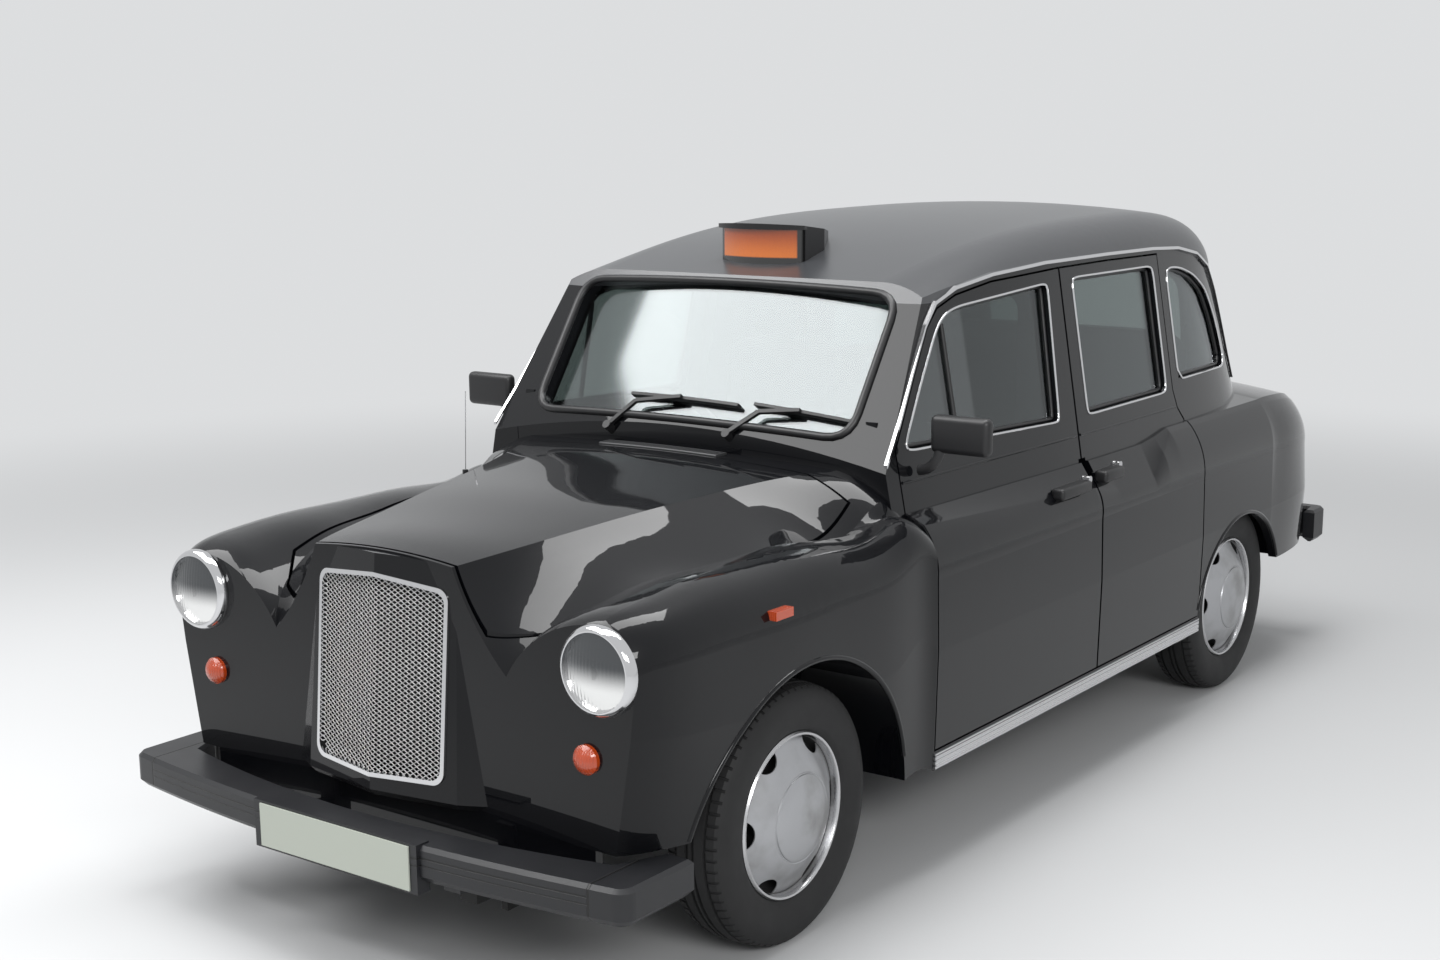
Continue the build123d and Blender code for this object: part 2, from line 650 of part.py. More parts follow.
engine_bay = block(-INNER_WING_X, INNER_WING_X, -2045, -900, 200, 1095)
scuttle_region = block(-700, 700, SCUTTLE_Y, DOOR_FRONT_Y, BONNET_HEM_Z - SHUT_GAP, 1300)
nose_region = block(-500, 500, NOSE_BACK_Y, -1950, 200, 1300)

with BuildPart() as scuttle_panel:
    add(front_skin)
    add(scuttle_region, mode=Mode.INTERSECT)
    add(engine_bay, mode=Mode.SUBTRACT)
keep(scuttle_panel.part, "scuttle_panel")

with BuildPart() as front_wings:
    add(front_skin)
    add(block(INNER_WING_X, 900, NOSE_BACK_Y, DOOR_FRONT_Y, 200, 1300), mode=Mode.INTERSECT)
    add(bonnet_gap.part, mode=Mode.SUBTRACT)
    add(scuttle_region, mode=Mode.SUBTRACT)
    add(nose_region, mode=Mode.SUBTRACT)
    add(block(500, 660, NOSE_BACK_Y + 3, NOSE_BACK_Y + 28, APRON_FOOT_Z, 440))
    add(drum(FRONT_ARCH_RADIUS, INNER_WING_X + 40, 900, FRONT_AXLE_Y, FRONT_ARCH_Z), mode=Mode.SUBTRACT)
    add(block(INNER_WING_X - 5, INNER_WING_X + 45, FRONT_AXLE_Y - 60, FRONT_AXLE_Y + 60, 190,
              ARM_UPPER_FOOT + ARM_THICKNESS + 14), mode=Mode.SUBTRACT)
    mirror(about=Plane.YZ)
keep(front_wings.part, "front_wings")


def nose_plan(z, half, setback):
    """The nose from above at one height: a shallow V that flares back to the cheeks."""
    front_y = GRILLE_FOOT_Y + NOSE_LEAN * (z - GRILLE_FOOT_Z) + setback
    wing_y = front_y + GRILLE_SWEEP * half / GRILLE_HALF
    flare_y = max(NOSE_BACK_Y, wing_y) + 8
    flare_x = half + NOSE_FLARE * (flare_y - wing_y)
    with BuildSketch(Plane.XY.offset(z)) as plan:
        with BuildLine():
            Polyline((-flare_x, NOSE_BACK_Y + 100), (-flare_x, flare_y), (-half, wing_y), (0, front_y),
                     (half, wing_y), (flare_x, flare_y), (flare_x, NOSE_BACK_Y + 100), close=True)
        make_face()
    return plan.sketch


def nose_block(setback):
    """The nose as a block with a tucked chin, its front moved back by setback."""
    with BuildPart() as nose:
        loft(sections=[nose_plan(NOSE_FOOT_Z, GRILLE_HALF + NOSE_BORDER, setback + NOSE_CHIN),
                       nose_plan(NOSE_FOOT_Z + NOSE_CHIN, GRILLE_HALF + NOSE_BORDER, setback),
                       nose_plan(NOSE_TOP_Z + 10, GRILLE_HALF + 16, setback)], ruled=True)
    return nose.part


def grille_outline(inset):
    """A prism along Y with the outline of the grille, less a border."""
    half = GRILLE_HALF - inset
    with BuildPart() as prism:
        with BuildSketch(Plane.XZ.offset(2035)) as outline:
            with BuildLine():
                Polyline((-half, 495 + inset), (0, GRILLE_FOOT_Z + inset), (half, 495 + inset),
                         (half, 973 - inset), (0, GRILLE_TOP_Z - inset), (-half, 973 - inset), close=True)
            make_face()
            corners = outline.vertices().filter_by_position(Axis.X, half - 1, half + 1)
            corners += outline.vertices().filter_by_position(Axis.X, -half - 1, -half + 1)
            fillet(corners, radius=GRILLE_CORNER - inset / 2)
        extrude(amount=200)
    return prism.part


# Nose: a shallow V in plan that leans back, with a crowned top
with BuildPart() as nose_crown:
    with BuildSketch(Plane.XZ.offset(1900)):
        with BuildLine():
            ThreePointArc((-330, 1012), (0, NOSE_TOP_Z), (330, 1012))
            Polyline((330, 1012), (330, 300), (-330, 300), (-330, 1012))
        make_face()
    extrude(amount=400)

with BuildPart() as nose_backing:
    add(front_skin)
    add(nose_region, mode=Mode.INTERSECT)
    add(bonnet_gap.part, mode=Mode.SUBTRACT)

# Below the bonnet's edge the nose carries on, with two buffers on which the bonnet rests
with BuildPart() as slam_panel:
    add(front_skin.moved(Location((0, 0, -PANEL_WALL - SHUT_GAP))))
    add(block(-500, 500, NOSE_BACK_Y + 3, -1950, 200, 1300), mode=Mode.INTERSECT)

with BuildPart() as buffers:
    add(front_skin.moved(Location((0, 0, -PANEL_WALL - SEAL_GAP))))
    add(block(*BUFFER_X, BONNET_FRONT_Y + 4, BONNET_FRONT_Y + 20, BONNET_HEM_Z - 60, 1100), mode=Mode.INTERSECT)
    mirror(about=Plane.YZ)

with BuildPart() as nose_panel:
    add(nose_block(0))
    add(nose_crown.part, mode=Mode.INTERSECT)
    add(block(-350, 350, -2200, NOSE_BACK_Y + 4, 300, 1100), mode=Mode.INTERSECT)
    add(nose_backing.part)
    add(slam_panel.part)
    add(buffers.part)
    add(block(-500, 500, NOSE_BACK_Y + 3, NOSE_BACK_Y + 28, APRON_FOOT_Z, 440))
    add(engine_bay, mode=Mode.SUBTRACT)
    add(grille_outline(0), mode=Mode.SUBTRACT)
keep(nose_panel.part, "nose_panel")

with BuildPart() as grille_frame:
    add(nose_block(-GRILLE_FRAME_PROUD))
    add(nose_block(14), mode=Mode.SUBTRACT)
    add(grille_outline(0), mode=Mode.INTERSECT)
    add(grille_outline(GRILLE_FRAME_WIDTH), mode=Mode.SUBTRACT)
keep(grille_frame.part, "grille_frame")

# Expanded mesh: staggered rows of diamonds cut through the folded sheet behind the frame
with BuildPart() as diamonds:
    with BuildSketch(Plane.XZ.offset(2035)):
        for row in range(MESH_ROWS):
            count = MESH_COLUMNS - row % 2
            first_x = -MESH_PITCH_X * (count - 1) / 2
            half_x, half_z = MESH_PITCH_X / 2 - MESH_STRAND, MESH_PITCH_Z / 2 - MESH_STRAND
            with Locations(*((first_x + MESH_PITCH_X * column, MESH_FIRST_Z + row * MESH_PITCH_Z / 2)
                             for column in range(count))):
                Polygon((-half_x, 0), (0, -half_z), (half_x, 0), (0, half_z))
    extrude(amount=200)

with BuildPart() as grille_mesh:
    add(nose_block(GRILLE_MESH_DEPTH))
    add(nose_block(GRILLE_MESH_DEPTH + MESH_THICKNESS), mode=Mode.SUBTRACT)
    add(grille_outline(GRILLE_FRAME_WIDTH), mode=Mode.INTERSECT)
    add(diamonds.part, mode=Mode.SUBTRACT)
keep(grille_mesh.part, "grille_mesh")


def lamp_plane(x, z):
    """A plane for profiles turned about a line that points forwards: x is forwards, y is the radius."""
    return Plane(origin=(x, NOSE_BACK_Y, z), x_dir=(0, -1, 0), z_dir=(-1, 0, 0))


# Headlamps, indicators, side repeaters and tail lamps
with BuildPart() as headlamp_rims:
    with BuildSketch(lamp_plane(LAMP_X, LAMP_Z)):
        with BuildLine():
            Line((0, LENS_RADIUS), (0, LAMP_RIM_RADIUS))
            ThreePointArc((0, LAMP_RIM_RADIUS), (17, LAMP_RIM_RADIUS - 2), (27, LENS_RADIUS + 3))
            Polyline((27, LENS_RADIUS + 3), (27, LENS_RADIUS), (0, LENS_RADIUS))
        make_face()
    revolve(axis=Axis((LAMP_X, NOSE_BACK_Y, LAMP_Z), (0, -1, 0)))
    mirror(about=Plane.YZ)
keep(headlamp_rims.part, "headlamp_rims")

with BuildPart() as headlamp_lenses:
    with BuildSketch(lamp_plane(LAMP_X, LAMP_Z)):
        with BuildLine():
            Polyline((32, 0), (0, 0), (0, LENS_RADIUS), (18, LENS_RADIUS))
            TangentArc((32, 0), (18, LENS_RADIUS), tangent=(0, 1))
        make_face()
    revolve(axis=Axis((LAMP_X, NOSE_BACK_Y, LAMP_Z), (0, -1, 0)))
    mirror(about=Plane.YZ)
keep(headlamp_lenses.part, "headlamp_lenses")

with BuildPart() as repeater:
    add(block(800, 856, REPEATER_Y - 36, REPEATER_Y + 36, REPEATER_Z - 11, REPEATER_Z + 11))
    add(front_skin, mode=Mode.SUBTRACT)

with BuildPart() as amber_lenses:
    with BuildSketch(lamp_plane(INDICATOR_X, INDICATOR_Z)):
        with BuildLine():
            Polyline((30, 0), (0, 0), (0, INDICATOR_RADIUS), (10, INDICATOR_RADIUS))
            TangentArc((30, 0), (10, INDICATOR_RADIUS), tangent=(0, 1))
        make_face()
    revolve(axis=Axis((INDICATOR_X, NOSE_BACK_Y, INDICATOR_Z), (0, -1, 0)))
    add(repeater.part)
    mirror(about=Plane.YZ)
keep(amber_lenses.part, "amber_lenses")

with BuildPart() as tail_lamps:
    add(tail_skin.moved(Location((0, 14, 0))))
    add(block(*TAIL_LAMP_X, 2050, 2300, *TAIL_LAMP_Z), mode=Mode.INTERSECT)
    add(tail_skin, mode=Mode.SUBTRACT)
    mirror(about=Plane.YZ)
keep(tail_lamps.part, "tail_lamps")


# Wheels and tyres: profiles turned about the axle; x is outwards from the middle of the tread
def wheel_plane(x, y):
    return Plane(origin=(x, y, TYRE_RADIUS), x_dir=(1, 0, 0), z_dir=(0, -1, 0))


def tyre(x, y):
    """A tyre with a round crown and sidewalls that bulge."""
    with BuildPart() as ring:
        with BuildSketch(wheel_plane(x, y)):
            with BuildLine():
                Polyline((-RIM_HALF, BEAD_RADIUS), (-RIM_HALF, RIM_RADIUS), (RIM_HALF, RIM_RADIUS),
                         (RIM_HALF, BEAD_RADIUS))
                ThreePointArc((RIM_HALF, BEAD_RADIUS), (SIDEWALL_HALF, 266), (TREAD_HALF, SHOULDER_RADIUS))
                ThreePointArc((TREAD_HALF, SHOULDER_RADIUS), (0, TYRE_RADIUS), (-TREAD_HALF, SHOULDER_RADIUS))
                ThreePointArc((-TREAD_HALF, SHOULDER_RADIUS), (-SIDEWALL_HALF, 266), (-RIM_HALF, BEAD_RADIUS))
            make_face()
        revolve(axis=Axis((x, y, TYRE_RADIUS), (1, 0, 0)))
    return ring.part


def wheel(x, y):
    """A steel wheel with its pressed cover: rim, disc and a domed face with a bright outer ring."""
    with BuildPart() as body:
        with BuildSketch(wheel_plane(x, y)):
            with BuildLine():
                Polyline((-RIM_HALF, 190), (-RIM_HALF, RIM_RADIUS), (RIM_HALF, RIM_RADIUS),
                         (COVER_FACE - 6, COVER_RADIUS), (COVER_FACE, COVER_RADIUS - 6), (COVER_FACE - 2, 196),
                         (COVER_FACE - 10, 182), (COVER_FACE - 4, 128))
                TangentArc((COVER_FACE + 9, 0), (COVER_FACE - 4, 128), tangent=(0, 1))
                Polyline((COVER_FACE + 9, 0), (DISC_INNER, 0), (DISC_INNER, 70), (DISC_OUTER, 110),
                         (DISC_INNER, 190), (-RIM_HALF, 190))
            make_face()
        revolve(axis=Axis((x, y, TYRE_RADIUS), (1, 0, 0)))
        with BuildSketch(Plane.YZ.offset(x + COVER_FACE - SLOT_DEPTH)):
            with Locations((y, TYRE_RADIUS)):
                with PolarLocations(SLOT_RADIUS, SLOT_COUNT):
                    RectangleRounded(SLOT_HEIGHT, SLOT_WIDTH, 11)
        extrude(amount=SLOT_DEPTH + 20, mode=Mode.SUBTRACT)
    return body.part


for place, y in (("front", FRONT_AXLE_Y), ("rear", REAR_AXLE_Y)):
    tyre_left = tyre(HUB_X, y)
    wheel_left = wheel(HUB_X, y)
    keep(tyre_left, f"tyre_{place}_left")
    keep(wheel_left, f"wheel_{place}_left")
    keep(mirrored(tyre_left), f"tyre_{place}_right")
    keep(mirrored(wheel_left), f"wheel_{place}_right")

# Steering knuckles, with the king pin between the two arms of the front suspension
with BuildPart() as knuckle_left:
    add(block(KINGPIN_X - 45, KINGPIN_X + 32, FRONT_AXLE_Y - 40, FRONT_AXLE_Y + 40,
              TYRE_RADIUS - KNUCKLE_HALF, TYRE_RADIUS + KNUCKLE_HALF))
    with BuildSketch(Plane.XY.offset(ARM_LOWER_TOP + PIN_GAP)):
        with Locations((KINGPIN_X, FRONT_AXLE_Y)):
            Circle(14)
    extrude(amount=ARM_UPPER_FOOT - ARM_LOWER_TOP - 2 * PIN_GAP)
    add(drum(BACKPLATE_RADIUS, KINGPIN_X + 32, KINGPIN_X + 52, FRONT_AXLE_Y, TYRE_RADIUS))
    add(drum(30, KINGPIN_X + 32, HUB_X + DISC_INNER - PIN_GAP, FRONT_AXLE_Y, TYRE_RADIUS))
keep(knuckle_left.part, "knuckle_left")
keep(mirrored(knuckle_left.part), "knuckle_right")

# Chassis: two box rails that kick up over the rear axle, cross members, the front suspension arms,
# a towing eye under each rail at the front and a drilled plate for a tow bar at the back
with BuildPart() as chassis:
    add(side_prism(((RAIL_FRONT_Y, RAIL_FOOT_Z), (925, RAIL_FOOT_Z), (1075, BOOT_FLOOR_FOOT_Z - 80),
                    (RAIL_REAR_Y, BOOT_FLOOR_FOOT_Z - 80), (RAIL_REAR_Y, BOOT_FLOOR_FOOT_Z),
                    (1050, BOOT_FLOOR_FOOT_Z), (HEELBOARD_Y + 8, FLOOR_FOOT_Z), (RAIL_FRONT_Y, FLOOR_FOOT_Z)),
                   RAIL_INNER_X, RAIL_OUTER_X))
    for foot_z in (ARM_LOWER_TOP - ARM_THICKNESS, ARM_UPPER_FOOT):
        add(block(RAIL_OUTER_X, KINGPIN_X + 25, FRONT_AXLE_Y - 25, FRONT_AXLE_Y + 25,
                  foot_z, foot_z + ARM_THICKNESS))
    add(block(RAIL_OUTER_X, RAIL_OUTER_X + 30, FRONT_AXLE_Y - 45, FRONT_AXLE_Y + 45,
              ARM_LOWER_TOP - ARM_THICKNESS, ARM_UPPER_FOOT + ARM_THICKNESS))
    add(block(TOW_EYE_X - 10, TOW_EYE_X + 10, TOW_EYE_Y - 35, TOW_EYE_Y + 35, TOW_EYE_Z - 32, RAIL_FOOT_Z))
    add(drum(TOW_EYE_RADIUS, TOW_EYE_X - 10, TOW_EYE_X + 10, TOW_EYE_Y, TOW_EYE_Z), mode=Mode.SUBTRACT)
    mirror(about=Plane.YZ)
    for y, z in CROSS_MEMBERS:
        add(block(-RAIL_INNER_X, RAIL_INNER_X, y - 30, y + 30, z, z + 70))
    add(block(-TOW_PLATE_HALF, TOW_PLATE_HALF, TOW_PLATE_Y, TOW_PLATE_Y + 12, 305, BOOT_FLOOR_FOOT_Z - 10))
    with BuildSketch(Plane.XZ.offset(-TOW_PLATE_Y - 12)):
        with Locations((0, TOW_HOLES_Z)):
            with GridLocations(TOW_HOLES_X_STEP, TOW_HOLES_Z_STEP, 2, 2):
                Circle(TOW_HOLE_RADIUS)
    extrude(amount=12, mode=Mode.SUBTRACT)
keep(chassis.part, "chassis")

with BuildPart() as rear_axle:
    add(drum(38, -HUB_X - DISC_INNER + PIN_GAP, HUB_X + DISC_INNER - PIN_GAP, REAR_AXLE_Y, TYRE_RADIUS))
    add(drum(125, -95, 95, REAR_AXLE_Y, TYRE_RADIUS))
    add(drum(130, HUB_X - 70, HUB_X - 20, REAR_AXLE_Y, TYRE_RADIUS))
    add(block(SPRING_X - 32, SPRING_X + 32, REAR_AXLE_Y - 600, REAR_AXLE_Y + 600,
              TYRE_RADIUS - 66, TYRE_RADIUS - 30))
    add(block(SPRING_X - 20, SPRING_X + 20, REAR_AXLE_Y - 600, REAR_AXLE_Y - 560, TYRE_RADIUS - 40, FLOOR_FOOT_Z))
    add(block(SPRING_X - 20, SPRING_X + 20, REAR_AXLE_Y + 560, REAR_AXLE_Y + 600,
              TYRE_RADIUS - 40, BOOT_FLOOR_FOOT_Z))
    mirror(about=Plane.YZ)
keep(rear_axle.part, "rear_axle")

# Floor, heelboard, boot floor, wheel tubs, parcel shelf and the bulkheads
with BuildPart() as wheel_tubs:
    add(drum(REAR_WELL_RADIUS + WELL_WALL, REAR_WELL_INNER_X - WELL_WALL, CABIN_HALF - 9, REAR_AXLE_Y, TYRE_RADIUS))
    add(block(0, CABIN_HALF, HEELBOARD_Y, CABIN_REAR_Y - 2, BOOT_FLOOR_FOOT_Z, 1000), mode=Mode.INTERSECT)

with BuildPart() as boot_tubs:
    add(drum(REAR_WELL_RADIUS + WELL_WALL, REAR_WELL_INNER_X - WELL_WALL, BOOT_HALF - 2, REAR_AXLE_Y, TYRE_RADIUS))
    add(block(0, CABIN_HALF, CABIN_REAR_Y - 2, 2060, BOOT_FLOOR_FOOT_Z, 1000), mode=Mode.INTERSECT)

with BuildPart() as parcel_shelf:
    add(upper_air.part)
    add(block(-700, 700, CABIN_REAR_Y - 12, 1760, 972, 985), mode=Mode.INTERSECT)

with BuildPart() as floor_and_bulkhead:
    add(block(-SILL_INNER_X, SILL_INNER_X, DOOR_FRONT_Y, HEELBOARD_Y, FLOOR_FOOT_Z, FLOOR_TOP_Z))
    add(block(-SILL_INNER_X, SILL_INNER_X, HEELBOARD_Y - 12, HEELBOARD_Y, FLOOR_FOOT_Z, BOOT_FLOOR_Z))
    add(block(-745, 745, HEELBOARD_Y, CABIN_REAR_Y - 2, BOOT_FLOOR_FOOT_Z, BOOT_FLOOR_Z))
    add(block(-BOOT_HALF + 2, BOOT_HALF - 2, CABIN_REAR_Y - 2, 2060, BOOT_FLOOR_FOOT_Z, BOOT_FLOOR_Z))
    add(block(-POST_INNER_X, POST_INNER_X, DOOR_FRONT_Y, DOOR_FRONT_Y + 12, FLOOR_TOP_Z, 1000))
    add(block(-700, 700, CABIN_REAR_Y - 12, CABIN_REAR_Y, BOOT_FLOOR_Z, 985))
    add(parcel_shelf.part)
    for tub in (wheel_tubs.part, boot_tubs.part):
        add(tub)
        add(mirrored(tub))
    add(rear_drum, mode=Mode.SUBTRACT)
    add(mirrored(rear_drum), mode=Mode.SUBTRACT)
keep(floor_and_bulkhead.part, "floor_and_bulkhead")

# Engine, as one plain block, and what hangs below the floor
keep(block(-210, 210, -1900, -1180, RAIL_FOOT_Z + 80, 930, edge=20), "engine_block")
with BuildPart() as exhaust:
    with BuildSketch(Plane.XZ.offset(1100)):
        with Locations((EXHAUST_X, EXHAUST_Z)):
            Circle(24)
    extrude(amount=-2080)
    with BuildSketch(Plane.XZ.offset(200)):
        with Locations((EXHAUST_X - 48, 270)):
            Ellipse(78, 42)
    extrude(amount=-560)
    for y in (-650, 80, 720):
        add(block(EXHAUST_X - 10, EXHAUST_X + 10, y - 8, y + 8, 290, FLOOR_FOOT_Z))
keep(exhaust.part, "exhaust")
keep(block(-260, 260, 1560, 1980, 300, BOOT_FLOOR_FOOT_Z, edge=30), "fuel_tank")


def bumper(front_y, corner_y, half, wrap_y, z_from, z_to, depth, wall, cap):
    """A bumper seen from above as a bowed strip whose rounded ends wrap round the wings."""
    sign = 1 if front_y < 0 else -1
    inner_x = half - wall - cap
    inner_y = corner_y + sign * (depth + cap / 3)
    with BuildPart() as bar:
        with BuildSketch(Plane.XY.offset(z_from)) as plan:
            with BuildLine():
                ThreePointArc((-half, corner_y), (0, front_y), (half, corner_y))
                Polyline((half, corner_y), (half, wrap_y), (half - wall, wrap_y), (inner_x, inner_y))
                ThreePointArc((inner_x, inner_y), (0, front_y + sign * depth), (-inner_x, inner_y))
                Polyline((-inner_x, inner_y), (wall - half, wrap_y), (-half, wrap_y), (-half, corner_y))
            make_face()
            ends = plan.vertices().filter_by_position(Axis.Y, corner_y - 1, corner_y + 1)
            fillet(ends.filter_by(lambda v: abs(v.X) > half - 1), radius=BUMPER_CORNER)
        extrude(amount=z_to - z_from)
        chamfer(bar.faces().sort_by(Axis.Z)[-1].edges(), length=10)
        chamfer(bar.faces().sort_by(Axis.Z)[0].edges(), length=18)
    return bar.part


# Bumpers on irons that stand out of the rails, and blank number plates
with BuildPart() as front_bumper:
    add(bumper(FRONT_BUMPER_Y, FRONT_BUMPER_Y + 70, 856, -1966, FRONT_BUMPER_FOOT_Z, FRONT_BUMPER_TOP_Z,
               depth=100, wall=74, cap=60))
    for side in (-1, 1):
        add(block(*sorted((side * RAIL_INNER_X, side * RAIL_OUTER_X)), -2205, RAIL_FRONT_Y, 275, 390))
    add(block(-284, 284, FRONT_BUMPER_Y - 2, FRONT_BUMPER_Y + 40, 285, FRONT_BUMPER_TOP_Z + 4))
keep(front_bumper.part, "front_bumper")
keep(block(-260, 260, -LENGTH / 2, FRONT_BUMPER_Y - 2, 291.5, 402.5), "plate_front")

with BuildPart() as rear_bumper:
    add(bumper(REAR_BUMPER_Y, REAR_BUMPER_Y - 14, 822, 2140, 404, 532, depth=60, wall=44, cap=10))
    for side in (-1, 1):
        add(block(*sorted((side * RAIL_INNER_X, side * RAIL_OUTER_X)), RAIL_REAR_Y, 2245, 442, 512))
keep(rear_bumper.part, "rear_bumper")
keep(block(-260, 260, TAIL_FACE_Y, TAIL_FACE_Y + 4, 610, 721), "plate_rear")

# Glass: thin panes that follow the skins, cut to their openings
with BuildPart() as side_glass:
    add(lofted(UPPER_SECTIONS, upper_outline, inset=GLASS_DEPTH))
    add(lofted(UPPER_SECTIONS, upper_outline, inset=GLASS_DEPTH + GLASS_THICKNESS), mode=Mode.SUBTRACT)

for name, outline in (("front", FRONT_WINDOW), ("rear", REAR_WINDOW)):
    with BuildPart() as pane:
        add(side_glass.part)
        add(side_prism(outline, 500, 900), mode=Mode.INTERSECT)
    keep(pane.part, f"glass_door_{name}_left")
    keep(mirrored(pane.part), f"glass_door_{name}_right")

with BuildPart() as quarter_pane:
    add(side_glass.part)
    add(side_prism(QUARTER_WINDOW, 500, 900), mode=Mode.INTERSECT)

with BuildPart() as rear_screen:
    add(upper_skin.moved(Location((0, -GLASS_DEPTH, 0))))
    add(upper_skin.moved(Location((0, -GLASS_DEPTH - GLASS_THICKNESS, 0))), mode=Mode.SUBTRACT)
    add(rear_opening.part, mode=Mode.INTERSECT)

with BuildPart() as windscreen:
    add(screen_opening.part)
    add(ahead_of_screen(SCREEN_RADIUS, SCREEN_SETBACK), mode=Mode.SUBTRACT)
    add(ahead_of_screen(SCREEN_RADIUS, SCREEN_SETBACK + GLASS_THICKNESS), mode=Mode.INTERSECT)


def partition_window(y_from, y_to):
    """A rounded block the size of the window behind the driver."""
    with BuildPart() as opening:
        with BuildSketch(Plane.XZ.offset(-y_to)):
            with Locations((0, 1290)):
                RectangleRounded(1000, 430, 40)
        extrude(amount=y_to - y_from)
    return opening.part


with BuildPart() as fixed_glass:
    add(windscreen.part)
    add(rear_screen.part)
    add(quarter_pane.part)
    add(mirrored(quarter_pane.part))
    add(partition_window(PARTITION_Y + 7, PARTITION_Y + 13))
keep(fixed_glass.part, "fixed_glass")

# Cabin: partition, seats, dashboard and steering wheel
with BuildPart() as partition_top:
    add(behind_doors)
    add(block(-900, 900, PARTITION_Y, PARTITION_Y + 20, 930, 1700), mode=Mode.INTERSECT)

with BuildPart() as partition:
    add(block(-680, 680, PARTITION_Y, PARTITION_Y + 20, FLOOR_TOP_Z, 960))
    add(partition_top.part)
    add(partition_window(PARTITION_Y - 10, PARTITION_Y + 30), mode=Mode.SUBTRACT)
keep(partition.part, "partition")

with BuildPart() as driver_seat:
    add(block(-585, -165, -210, 170, FLOOR_TOP_Z, 640))
    add(block(-605, -145, -270, 185, 620, 745, edge=34))
    add(side_prism(((95, 700), (180, 700), (214, 1330), (150, 1330)), -590, -160))
    add(block(-470, -280, 146, 214, 1300, 1490, edge=26))
keep(driver_seat.part, "driver_seat")

with BuildPart() as rear_seats:
    add(block(-530, 530, HEELBOARD_Y + 4, 1300, BOOT_FLOOR_Z, 640))
    add(block(-536, 536, 800, 1320, 610, 790, edge=36))
    add(side_prism(((1290, 760), (1400, 760), (1528, 1290), (1436, 1290)), -556, 556))
    for x in (-330, 330):
        add(block(x - 200, x + 200, PARTITION_Y + 20, PARTITION_Y + 95, 620, 1000, edge=22))
keep(rear_seats.part, "rear_seats")

column_plane = Plane(origin=STEERING_CENTRE, x_dir=(1, 0, 0), z_dir=STEERING_AXIS)
with BuildPart() as dashboard:
    add(side_prism(((DOOR_FRONT_Y + 12, 840), (DOOR_FRONT_Y + 12, 1118), (-800, 1126), (-700, 1118),
                    (-640, 1066), (-652, 950), (-730, 840)), -612, 612))
    with BuildSketch(column_plane.offset(-HUB_DEPTH - PIN_GAP)):
        Circle(30)
    extrude(amount=-350)
keep(dashboard.part, "dashboard")

with BuildPart() as steering_wheel:
    with Locations(column_plane):
        Torus(STEERING_RADIUS, 14)
    with BuildSketch(column_plane.offset(-HUB_DEPTH)):
        Circle(40)
    extrude(amount=HUB_DEPTH + 8)
    with BuildSketch(column_plane.offset(-5)):
        for x, y, width, height in ((-115, 0, 160, 30), (115, 0, 160, 30), (0, 115, 30, 160)):
            with Locations((x, y)):
                Rectangle(width, height)
    extrude(amount=10)
keep(steering_wheel.part, "steering_wheel")

# Roof sign: a lens under a flat visor, in front of a housing that tapers back to the roof
sign_wedge = side_prism(((-540, 1500), (-540, 1761), (-110, 1712), (-110, 1500)), -300, 300)
with BuildPart() as sign_housing:
    add(plan_prism(((-150, SIGN_BODY_Y), (150, SIGN_BODY_Y), (134, -330), (66, -205), (12, -150),
                    (-12, -150), (-66, -205), (-134, -330)), 1560, 1770))
    with BuildSketch(Plane.XY.offset(SIGN_VISOR_Z)):
        with BuildLine():
            ThreePointArc((-158, SIGN_BODY_Y - 16), (0, SIGN_BODY_Y - 62), (158, SIGN_BODY_Y - 16))
            Polyline((158, SIGN_BODY_Y - 16), (150, SIGN_BODY_Y + 10), (-150, SIGN_BODY_Y + 10),
                     (-158, SIGN_BODY_Y - 16))
        make_face()
    extrude(amount=30)
    add(sign_wedge, mode=Mode.INTERSECT)
    add(upper_skin, mode=Mode.SUBTRACT)
keep(sign_housing.part, "sign_housing")

with BuildPart() as sign_lens:
    with BuildSketch(Plane.XY.offset(1560)):
        with BuildLine():
            ThreePointArc((-145, SIGN_BODY_Y - 14), (0, SIGN_BODY_Y - 48), (145, SIGN_BODY_Y - 14))
            Polyline((145, SIGN_BODY_Y - 14), (145, SIGN_BODY_Y), (-145, SIGN_BODY_Y), (-145, SIGN_BODY_Y - 14))
        make_face()
    extrude(amount=SIGN_VISOR_Z - 1560)
    add(upper_skin, mode=Mode.SUBTRACT)
keep(sign_lens.part, "sign_lens")


# Wipers, drawn on the face of the windscreen: x across it, t up it from its foot
def screen_strip(points, near, far):
    """A strip that follows the windscreen's curve between two depths, from an outline (x, t)."""
    with BuildPart() as strip:
        with BuildSketch(glass_plane.offset(-150)):
            with BuildLine():
                Polyline(*((x, -t) for x, t in points), close=True)
            make_face()
        extrude(amount=400)
        add(ahead_of_screen(SCREEN_RADIUS, near), mode=Mode.SUBTRACT)
        add(ahead_of_screen(SCREEN_RADIUS, far), mode=Mode.INTERSECT)
    return strip.part


def bar_outline(start, end, width):
    """The four corners of a straight bar between two points."""
    along = Vector(end[0] - start[0], end[1] - start[1]).normalized()
    side = Vector(-along.Y, along.X) * (width / 2)
    return ((start[0] + side.X, start[1] + side.Y), (end[0] + side.X, end[1] + side.Y),
            (end[0] - side.X, end[1] - side.Y), (start[0] - side.X, start[1] - side.Y))


